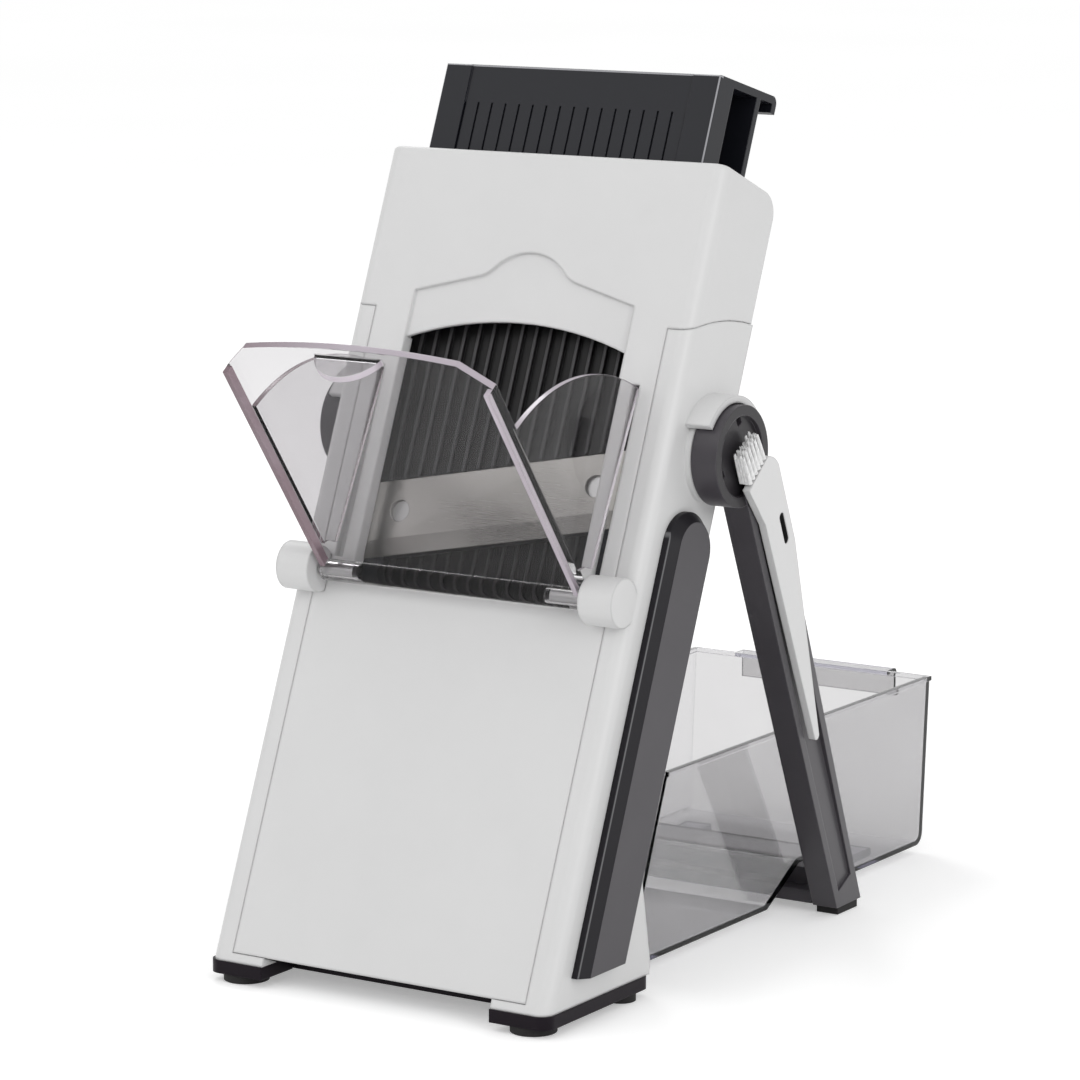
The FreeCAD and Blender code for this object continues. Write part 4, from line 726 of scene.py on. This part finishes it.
class Finish(Enum):
    """The record's material slots and the finish that each one takes."""

    # Painted light set here: the pale edge highlights, the paler painted sides of trim and legs, the
    # trim's pale line, the handle's pale edge and top lines, the ribs' pale crests, the door rim's painted
    # shade on the left and the blade's painted reflections.
    WHITE = ("white_plastic", Moulded(
        "white_housing", (0.70, 0.70, 0.70), 0.42, Grain.SATIN, softness=0.0013,
        clouding=0.012, edge_highlight=0.08))
    TRIM = ("grey_plastic", Lined(
        "charcoal_trim", (0.016, 0.015, 0.018), 0.40, Grain.SPARK, edge_highlight=1.0, gloss=0.14,
        painted_side_light=(0.094, 0.090, 0.097), line=(0.30, 0.30, 0.31), line_depth=(0.00975, 0.0102)))
    LEG = ("grey_plastic", Hubbed(
        "charcoal_leg", (0.060, 0.055, 0.063), 0.36, Grain.SPARK, edge_highlight=0.8, gloss=0.35,
        painted_side_light=(0.080, 0.076, 0.083), hub=(0.020, 0.018, 0.021)))
    DARK = ("dark_plastic", Edged(
        "charcoal_carriage", (0.010, 0.0105, 0.0145), 0.34, Grain.SATIN, softness=0.0005,
        edge_highlight=1.5, gloss=0.25, front_highlight=(0.34, 0.34, 0.36), front_highlight_depth=0.0072, top_highlight_height=(0.3084, 0.3095)))
    FOOD = ("dark_plastic", Ribbed(
        "black_food_plate", (0.008, 0.0077, 0.0081), 0.4, Grain.SATIN, softness=0.0004, gloss=0.2,
        crest_highlight=(0.055, 0.054, 0.056), crest_depth=0.0081))
    STOP = ("dark_plastic", Ribbed(
        "black_thickness_plate", (0.0030, 0.0028, 0.0030), 0.4, Grain.SATIN, softness=0.0004, gloss=0.12,
        crest_highlight=(0.042, 0.040, 0.042), crest_depth=0.0171))
    BLACK = ("black_plastic", Moulded(
        "black_shoe", (0.0065, 0.0035, 0.0070), 0.42, Grain.SPARK, softness=0.0008,
        clouding=0.08, edge_highlight=0.8, gloss=0.14))
    RUBBER = ("rubber", Rubber("black_rubber", (0.0040, 0.0035, 0.0036)))
    DOOR = ("clear_plastic", Clear(
        "clear_door", (0.765, 0.755, 0.765), haze=0.01, mirror=0.2, bending=1.22))
    RIM = ("clear_plastic", ClearRim(
        "pale_door_rim", (0.64, 0.57, 0.64), haze=0.7, roughness=0.2, left=(0.27, 0.18, 0.21)))
    TRAY = ("clear_plastic", Clear(
        "clear_tray", (0.715, 0.71, 0.70), mirror=0.3, tint=(0.42, 0.41, 0.56), density=90.0))
    BLADE = ("blade_steel", Steel("ground_blade", (0.31, 0.302, 0.288), 0.3, Lay.ALONG, bloom_and_reflection=0.3))
    PIN = ("pin_steel", Steel("turned_pin", (0.5, 0.5, 0.5), 0.34, Lay.ROUND))
    SPRING = ("spring_steel", Steel("drawn_spring", (0.45, 0.45, 0.46), 0.36, Lay.EVEN))
    BRUSH = ("brush_plastic", Slotted(
        "white_brush", (0.72, 0.72, 0.72), 0.4, Grain.SATIN, softness=0.0007, clouding=0.012, edge_highlight=0.03,
        slot_low=(0.070, 0.0069, -0.0362), slot_high=(0.0808, 0.0103, -0.0238)))
    BRISTLE = ("bristle", Nylon("nylon_bristle", (0.93, 0.93, 0.93)))

    @property
    def slot(self) -> str:
        """Return the record's slot name."""
        return self.value[0]

    def material(self) -> bpy.types.Material:
        """Return the finish's material, built once."""
        recipe = self.value[1]
        return bpy.data.materials.get(recipe.name) or recipe.material()


def dress(finish: Finish, *nodes: str) -> None:
    """Give CAD nodes a finish.

    Args:
        finish: The finish to put on.
        nodes: Names of the CAD nodes.
    """
    for name in nodes:
        mesh = frame["nodes"][name].data
        mesh.materials.clear()
        mesh.materials.append(finish.material())
        log.info("%s takes %s", name, finish.slot)


def add_piece(name: str, shape: Mesh, finishes: Sequence[Finish], smooth: float,
              stands_for: Sequence[str] = ()) -> bpy.types.Object:
    """Turn a mesh under construction into a finished piece of the part.

    Args:
        name: Name of the piece.
        shape: Its mesh in the part's frame; freed here.
        finishes: Its finishes, in the order of its faces' numbers.
        smooth: Edges sharper than this many degrees stay sharp.
        stands_for: CAD nodes that it replaces, none where it is an added piece.

    Returns:
        The new object, which the caller gives to the body that carries it.
    """
    bmesh.ops.recalc_face_normals(shape, faces=shape.faces)
    limit = math.radians(smooth)
    for face in shape.faces:
        face.smooth = True
    for line in shape.edges:
        line.smooth = line.is_manifold and line.calc_face_angle(0.0) < limit
    mesh = bpy.data.meshes.new(name)
    shape.to_mesh(mesh)
    shape.free()
    for finish in finishes:
        mesh.materials.append(finish.material())
    piece = bpy.data.objects.new(name, mesh)
    bpy.context.scene.collection.objects.link(piece)
    finishes[0].slot
    if stands_for:
        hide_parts(*stands_for)
    log.info("%s has %d faces", name, len(mesh.polygons))
    return piece


def bridge(shape: Mesh, rings: Sequence[Sequence[bmesh.types.BMVert]]) -> None:
    """Join neighbouring rings of corners by faces.

    Args:
        shape: Mesh that takes the new faces.
        rings: Closed loops of one length; a ring of one corner closes the form to a point.
    """
    for low, high in zip(rings, rings[1:]):
        steps = max(len(low), len(high))
        for step in range(steps):
            after = (step + 1) % steps
            corners = [low[step % len(low)], low[after % len(low)],
                       high[after % len(high)], high[step % len(high)]]
            shape.faces.new(list(dict.fromkeys(corners)))


def lathe(shape: Mesh, profile: Sequence[Span], at: Matrix, steps: int) -> None:
    """Turn a profile round the Z axis of a placement.

    Args:
        shape: Mesh that takes the new faces.
        profile: Pairs of radius and height; ends on the axis close the form.
        at: Placement of the turned form.
        steps: Number of faces round the axis.
    """
    rings: list[list[bmesh.types.BMVert]] = []
    for radius, height in profile:
        turns = [2.0 * math.pi * step / steps for step in range(steps if radius else 1)]
        spots = [Vector((radius * math.cos(turn), radius * math.sin(turn), height)) for turn in turns]
        rings.append([shape.verts.new(at @ spot) for spot in spots])
    bridge(shape, rings)


def joint_place(name: str) -> Sequence[float]:
    """Return a point on a joint's axis."""
    return next(joint for joint in frame["joints"] if joint["name"] == name)["pos_m"]


def islands(node: str) -> Iterator[tuple[Vector, Vector]]:
    """Yield the lowest and highest corners of each separate solid of a CAD node."""
    shape = bmesh.new()
    shape.from_mesh(frame["nodes"][node].data)
    bmesh.ops.remove_doubles(shape, verts=shape.verts, dist=WELD)
    waiting = dict.fromkeys(shape.verts)
    while waiting:
        group = [waiting.popitem()[0]]
        for vert in group:
            for line in vert.link_edges:
                other = line.other_vert(vert)
                if other in waiting:
                    del waiting[other]
                    group.append(other)
        low = Vector(min(v.co[axis] for v in group) for axis in range(3))
        high = Vector(max(v.co[axis] for v in group) for axis in range(3))
        yield low, high
    shape.free()


@dataclass(frozen=True)
class ScrewHead:
    """Pan-head screw with a cross recess."""

    radius: float = 0.0026
    height: float = 0.0014
    recess_radius: float = 0.0015
    recess_half: float = 0.00035
    recess_depth: float = 0.0009
    recess_margin: float = 1.12
    recess_taper: float = 0.8
    crown: tuple[Span, ...] = ((1.0, 0.0), (1.0, 0.44), (0.95, 0.55), (0.82, 0.85))
    steps: int = 48

    @property
    def reach(self) -> float:
        """Return the radius of the flat top that holds the recess."""
        return self.recess_radius * self.recess_margin

    def add(self, shape: Mesh, at: Matrix) -> None:
        """Add a screw head that stands on the XY plane of a placement.

        Args:
            shape: Mesh that takes the head.
            at: Placement of the head's seat, with Z out of the surface.
        """
        crown = [(self.radius * out, self.height * rise) for out, rise in self.crown]
        lathe(shape, [(0.0, 0.0), *crown, (self.reach, self.height)], at, self.steps)
        self._cross(shape, at)

    def _cross(self, shape: Mesh, at: Matrix) -> None:
        """Close the head's top with a sunk cross.

        Args:
            shape: Mesh that holds the head's open top.
            at: Placement of the head's seat.
        """
        long, half = self.recess_radius, self.recess_half
        quarter = [(long, half), (half, half), (half, long)]
        outline: list[Vector] = []
        for turn in range(4):
            spin = Matrix.Rotation(turn * math.pi / 2.0, 3, "Z")
            outline += [spin @ Vector((x, y, 0.0)) for x, y in quarter]
        crown = Vector((0.0, 0.0, self.height))
        floor = Vector((0.0, 0.0, self.height - self.recess_depth))
        top = [shape.verts.new(at @ (spot + crown)) for spot in outline]
        low = [shape.verts.new(at @ (spot * self.recess_taper + floor)) for spot in outline]
        count = len(outline)
        for step in range(count):
            after = (step + 1) % count
            shape.faces.new((top[step], low[step], low[after], top[after]))
        shape.faces.new(low)
        shape.edges.ensure_lookup_table()
        rim = [line for vert in top for line in vert.link_edges if line.is_boundary]
        for vert in shape.verts:
            here = at.inverted() @ vert.co
            off = max(abs(here.z - self.height), abs(here.xy.length - self.reach))
            if vert.is_boundary and off < WELD:
                rim += [line for line in vert.link_edges if line.is_boundary]
        bmesh.ops.triangle_fill(shape, use_beauty=True, use_dissolve=False, edges=list(dict.fromkeys(rim)))


@dataclass
class Screwed:
    """A sub-assembly with cross-recess screws in the tower's back."""

    axes: TowerAxes = field(default_factory=TowerAxes)
    screw: ScrewHead = field(default_factory=ScrewHead)

    def add_screws(self, name: str, node: str, body: str) -> None:
        """Replace a node of plain screw heads by detailed ones.

        Args:
            name: Name of the new piece.
            node: CAD node of the plain heads.
            body: Body that carries them.
        """
        shape = bmesh.new()
        seat = Matrix.Translation((0.0, 0.0, -self.screw.height / 2.0))
        for low, high in islands(node):
            self.screw.add(shape, self.axes.facing_back((low + high) / 2.0) @ seat)
        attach(add_piece(name, shape, [Finish.PIN], smooth=30.0, stands_for=[node]), body)


class Tower(Screwed):
    """The white housing with its trims, base, guides and fasteners."""

    def dress(self) -> None:
        """Put the finishes on the tower's CAD nodes."""
        dress(Finish.WHITE, "front_cover", "side_frame_right", "side_frame_left")
        dress(Finish.TRIM, "side_trim_right", "side_trim_left")
        dress(Finish.LEG, "guide_rail_right", "guide_rail_left", "plate_beam_upper", "plate_beam_lower")
        dress(Finish.BLACK, "base_shoe_right", "base_shoe_left", "base_tie")
        dress(Finish.RUBBER, "foot_pads")
        dress(Finish.STOP, "thickness_plate")
        dress(Finish.PIN, "door_hinge_pins", "leg_pivot_pins")

    def build_screws(self) -> None:
        """Stand cross-recess heads in place of the plain cover screws."""
        self.add_screws("cover_screw_heads", "cover_screws", "housing")


class Carriage(Screwed):
    """The sliding push handle with its ribbed plate, blade and frame."""

    def dress(self) -> None:
        """Put the finishes on the carriage's CAD nodes."""
        dress(Finish.DARK, "handle", "carriage_frame")
        dress(Finish.FOOD, "food_plate")
        dress(Finish.BLADE, "blade")
        dress(Finish.PIN, "blade_rivets")

    def build_screws(self) -> None:
        """Stand cross-recess heads in place of the plain handle screws."""
        self.add_screws("handle_screw_heads", "handle_screws", "carriage")


@dataclass
class ReturnSprings:
    """The two springs that push the carriage up, wound with closed end turns."""

    axes: TowerAxes = field(default_factory=TowerAxes)
    across: float = 0.052
    depth: float = 0.012
    foot: float = 0.0138
    top: float = 0.0652
    radius: float = 0.0032
    wire_radius: float = 0.0006
    open_turns: float = 5.0
    closed_turns: float = 1.0
    closed_pitch: float = 0.0014
    steps_per_turn: int = 28
    wire_sides: int = 10

    def build(self) -> None:
        """Wind both springs in place of the plain coils."""
        at = self.axes.placement()
        shape = bmesh.new()
        for side in (-1.0, 1.0):
            self._wind(shape, at @ Matrix.Translation((side * self.across, self.depth, 0.0)))
        piece = add_piece("return_spring_coils", shape, [Finish.SPRING], smooth=50.0,
                          stands_for=["return_springs"])
        ends = [at @ Vector((0.0, self.depth, height)) for height in (self.foot, self.top)]
        tuple(ends[0])
        tuple(ends[1])
        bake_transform(piece)

    def _height(self, turn: float) -> float:
        """Return the wire's height after a number of turns."""
        closed = self.closed_turns
        rise = self.top - self.foot - 2.0 * closed * self.closed_pitch
        wound = min(turn, closed) + max(turn - closed - self.open_turns, 0.0)
        share = min(max(turn - closed, 0.0) / self.open_turns, 1.0)
        return self.foot + wound * self.closed_pitch + rise * share

    def _wind(self, shape: Mesh, at: Matrix) -> None:
        """Wind one spring.

        Args:
            shape: Mesh that takes the wire.
            at: Placement of the spring's axis.
        """
        turns = self.open_turns + 2.0 * self.closed_turns
        count = round(turns * self.steps_per_turn)
        angles = [2.0 * math.pi * step / self.wire_sides for step in range(self.wire_sides)]
        rings: list[list[bmesh.types.BMVert]] = []
        for step in range(count + 1):
            turn = turns * step / count
            out = Vector((math.cos(2.0 * math.pi * turn), math.sin(2.0 * math.pi * turn), 0.0))
            middle = out * self.radius + Vector((0.0, 0.0, self._height(turn)))
            spots = [out * math.cos(angle) + Vector((0.0, 0.0, math.sin(angle))) for angle in angles]
            rings.append([shape.verts.new(at @ (middle + spot * self.wire_radius)) for spot in spots])
            if step in (0, count):
                rings.append([shape.verts.new(at @ middle)])
        rings[0], rings[1] = rings[1], rings[0]
        bridge(shape, rings)


@dataclass
class ChuteDoor:
    """The clear door with its wings and finger lip, whose narrow rims are pale and softly rounded."""

    rim_width: float = 0.0032
    rod_reach: float = 0.0045
    rounding: float = 0.00035
    rounding_steps: int = 2
    flat: float = math.radians(1.0)
    sharp: float = math.radians(35.0)

    def build(self) -> None:
        """Round the door's edges, pick out its rims and stand it in place of the plain one."""
        shape = bmesh.new()
        shape.from_mesh(frame["nodes"]["chute_door"].data)
        bmesh.ops.remove_doubles(shape, verts=shape.verts, dist=WELD)
        bmesh.ops.dissolve_limit(shape, angle_limit=self.flat, verts=shape.verts, edges=shape.edges)
        hinge = Vector(joint_place("door_hinge")).yz
        for face in shape.faces:
            narrow = 2.0 * face.calc_area() / face.calc_perimeter() < self.rim_width
            on_rod = (face.calc_center_median().yz - hinge).length < self.rod_reach
            face.material_index = int(narrow and not on_rod)
        corners = [line for line in shape.edges if line.calc_face_angle(0.0) > self.sharp]
        bmesh.ops.bevel(shape, geom=corners, affect="EDGES", offset=self.rounding, profile=0.5,
                        material=-1, segments=self.rounding_steps, clamp_overlap=True)
        piece = add_piece("clear_chute_door", shape, [Finish.DOOR, Finish.RIM], smooth=12.0,
                          stands_for=["chute_door"])
        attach(piece, "door")


@dataclass
class Stand:
    """The folding rear legs with their hubs and crossbar."""

    pin_radius: float = 0.0037
    pin_root: float = 0.001
    pin_reach: float = 0.0020
    pin_steps: int = 40

    def dress(self) -> None:
        """Put the finishes on the stand's CAD nodes."""
        dress(Finish.LEG, "leg_right", "leg_left", "leg_crossbar")
        dress(Finish.RUBBER, "leg_pads")

    def build_pins(self) -> None:
        """Bridge the gap that the CAD leaves between crossbar and legs, for looks alone."""
        low, high = next(islands("leg_crossbar"))
        middle = (low + high) / 2.0
        shape = bmesh.new()
        for side, end in ((-1.0, low.x), (1.0, high.x)):
            root = Matrix.Translation((end - side * self.pin_root, middle.y, middle.z))
            length = self.pin_root + self.pin_reach
            profile = [(0.0, 0.0), (self.pin_radius, 0.0), (self.pin_radius, length), (0.0, length)]
            lathe(shape, profile, root @ Matrix.Rotation(side * math.pi / 2.0, 4, "Y"), self.pin_steps)
        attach(add_piece("crossbar_pins", shape, [Finish.LEG], smooth=30.0), "legs")


@dataclass
class CatchTray:
    """The clear tray that catches the slices."""

    def dress(self) -> None:
        """Put the clear finish on the tray."""
        dress(Finish.TRAY, "catch_tray")


@dataclass
class CleaningBrush:
    """The flat brush clipped into the right leg, drawn in the axes of the leg's outer face."""

    axes: LegAxes = field(default_factory=LegAxes)
    depth: Span = (0.0773, 0.0802)
    roots: tuple[Span, Span] = ((-0.0040, -0.0032), (0.0066, -0.0009))
    tips: tuple[Span, Span] = ((-0.0046, 0.0089), (0.0058, 0.0104))
    rows: int = 4
    columns: int = 6
    strands: int = 15
    strand_radius: float = 0.00022
    strand_sides: int = 5
    taper: tuple[Span, ...] = ((1.0, 0.0), (0.95, 0.6), (0.6, 0.97), (0.0, 1.0))
    tuft_radius: float = 0.0010
    ring_share: float = 0.7
    tip_share: float = 0.35
    tip_scatter: float = 0.2
    shortening: float = 0.08
    uneven: float = 0.0011
    seed: int = 7

    def dress(self) -> None:
        """Put the finish on the brush's handle."""
        dress(Finish.BRUSH, "brush_handle")

    def build_bristles(self) -> None:
        """Grow tufts of nylon in place of the plain block of bristles."""
        chance = random.Random(self.seed)
        shape = bmesh.new()
        at = self.axes.placement()
        for row in range(self.rows):
            deep = self.depth[0] + (self.depth[1] - self.depth[0]) * row / (self.rows - 1)
            for column in range(self.columns):
                share = column / (self.columns - 1)
                self._add_tuft(shape, at, deep, share, chance)
        piece = add_piece("bristle_tufts", shape, [Finish.BRISTLE], smooth=60.0,
                          stands_for=["brush_bristles"])
        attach(piece, "brush")

    def _add_tuft(self, shape: Mesh, at: Matrix, deep: float, share: float,
                  chance: random.Random) -> None:
        """Add one tuft of strands.

        Args:
            shape: Mesh that takes the strands.
            at: Placement of the face's axes.
            deep: Place of the tuft through the bristles' depth.
            share: Place of the tuft along the head, from 0 to 1.
            chance: Seeded source of the unevenness.
        """
        root = Vector((deep, *(Vector(self.roots[0]).lerp(Vector(self.roots[1]), share))))
        tip = Vector((deep, *(Vector(self.tips[0]).lerp(Vector(self.tips[1]), share))))
        tip = tip.lerp(root, chance.random() * self.uneven / (tip - root).length)
        for strand in range(self.strands):
            angle = 2.0 * math.pi * strand / max(self.strands - 1, 1)
            reach = self.tuft_radius * (self.ring_share if strand else 0.0)
            aside = Vector((math.cos(angle), math.sin(angle), 0.0)) * reach
            spread = aside * (self.tip_share + self.tip_scatter * chance.random())
            short = (root - tip) * self.shortening * chance.random()
            self._add_strand(shape, at, root + aside, tip + spread + short)

    def _add_strand(self, shape: Mesh, at: Matrix, root: Vector, tip: Vector) -> None:
        """Add one tapering strand.

        Args:
            shape: Mesh that takes the strand.
            at: Placement of the face's axes.
            root: Its lower end.
            tip: Its upper end.
        """
        turn = (tip - root).to_track_quat("Z", "Y").to_matrix().to_4x4()
        along = at @ Matrix.Translation(root) @ turn
        length = (tip - root).length
        profile = [(self.strand_radius * out, length * rise) for out, rise in self.taper]
        lathe(shape, profile, along, self.strand_sides)


@dataclass(frozen=True)
class SoftBox:
    """A square studio lamp with a soft edge."""

    name: str
    azimuth: float
    elevation: float
    distance: float
    size: float
    power: float

    def add(self, aim: Vector) -> None:
        """Hang the lamp round a point, facing it."""
        lamp = bpy.data.lights.new(self.name, "AREA")
        lamp.shape = "SQUARE"
        lamp.size = self.size
        lamp.energy = self.power
        light = bpy.data.objects.new(self.name, lamp)
        bpy.context.scene.collection.objects.link(light)
        away = direction(self.azimuth, self.elevation)
        light.location = aim + away * self.distance
        light.rotation_euler = away.to_track_quat("Z", "Y").to_euler()


def direction(azimuth: float, elevation: float) -> Vector:
    """Return the unit vector towards a place round the part.

    Args:
        azimuth: Degrees from the front towards the right.
        elevation: Degrees above the horizon.

    Returns:
        The direction.
    """
    turn, rise = math.radians(azimuth), math.radians(elevation)
    return Vector((math.sin(turn) * math.cos(rise), -math.cos(turn) * math.cos(rise), math.sin(rise)))


@dataclass
class Studio:
    """A pale floor, soft lamps, an even surround and the picture's camera."""

    floor_half: float = 6.0
    floor_colour: Colour = (0.88, 0.88, 0.88)
    floor_glow: float = 0.34
    floor_roughness: float = 0.9
    floor_drop: float = 0.0002
    floor_cells: int = 8
    drift_scale: float = 1.3
    drift: Span = (0.99, 1.01)
    surround: float = 0.745
    camera_azimuth: float = 32.65
    camera_elevation: float = 9.95
    camera_roll: float = 0.044
    camera_place: Triple = (0.77240, -1.24285, 0.38800)
    field_of_view: float = 14.0
    clip_end: float = 50.0
    aim: Triple = (0.0, 0.0, 0.14)
    lamps: tuple[SoftBox, ...] = (
        SoftBox("key_lamp", azimuth=-25.0, elevation=38.0, distance=1.6, size=1.3, power=3.6),
        SoftBox("fill_lamp", azimuth=66.0, elevation=20.0, distance=1.8, size=0.55, power=5.2),
        SoftBox("back_lamp", azimuth=-127.0, elevation=49.0, distance=1.8, size=0.5, power=4.0),
    )

    def build(self) -> None:
        """Set up the whole studio."""
        bpy.context.scene.view_settings.view_transform = "Standard"
        self._build_floor()
        self._build_surround()
        for lamp in self.lamps:
            lamp.add(Vector(self.aim))
        self._build_camera()

    def _build_floor(self) -> None:
        """Lay the floor under the part."""
        shader = new_shader("pale_floor")
        base = shader.drift(shader.noise(self.drift_scale), self.floor_colour, *self.drift)
        material = shader.principled({
            "Base Color": base, "Roughness": self.floor_roughness,
            "Specular IOR Level": 0.0, "Emission Strength": 1.0,
            "Emission Color": shader.blend(shader.shown(), grey(0.0), grey(self.floor_glow))})
        shape = bmesh.new()
        bmesh.ops.create_grid(shape, x_segments=self.floor_cells, y_segments=self.floor_cells,
                              size=self.floor_half)
        mesh = bpy.data.meshes.new("floor")
        shape.to_mesh(mesh)
        shape.free()
        mesh.materials.append(material)
        floor = bpy.data.objects.new("floor", mesh)
        floor.location.z = -self.floor_drop
        bpy.context.scene.collection.objects.link(floor)

    def _build_surround(self) -> None:
        """Light the part evenly and show white to the eye, mirrors and clear pieces."""
        world = bpy.data.worlds.new("surround")
        bpy.context.scene.world = world
        shader = Shader(world)
        colour = shader.blend(shader.shown(), grey(self.surround), grey(1.0))
        shader.close(shader.node("ShaderNodeBackground", {}, {"Color": colour, "Strength": 1.0}))

    def _build_camera(self) -> None:
        """Stand the camera where the picture was taken."""
        lens = bpy.data.cameras.new("picture_camera")
        lens.sensor_fit = "HORIZONTAL"
        lens.angle = math.radians(self.field_of_view)
        lens.clip_end = self.clip_end
        camera = bpy.data.objects.new("picture_camera", lens)
        bpy.context.scene.collection.objects.link(camera)
        away = direction(self.camera_azimuth, self.camera_elevation)
        turn = away.to_track_quat("Z", "Y").to_matrix().to_4x4()
        roll = Matrix.Rotation(math.radians(self.camera_roll), 4, "Z")
        camera.matrix_world = Matrix.Translation(self.camera_place) @ turn @ roll
        bpy.context.scene.camera = camera


def main() -> None:
    """Build and dress the part's sub-assemblies in order, then the studio."""
    logging.basicConfig(level=logging.INFO, format="%(name)s: %(message)s")
    tower = Tower()
    tower.dress()
    tower.build_screws()
    carriage = Carriage()
    carriage.dress()
    carriage.build_screws()
    ReturnSprings().build()
    ChuteDoor().build()
    stand = Stand()
    stand.dress()
    stand.build_pins()
    CatchTray().dress()
    brush = CleaningBrush()
    brush.dress()
    brush.build_bristles()
    Studio().build()


if __name__ == "__main__":
    main()
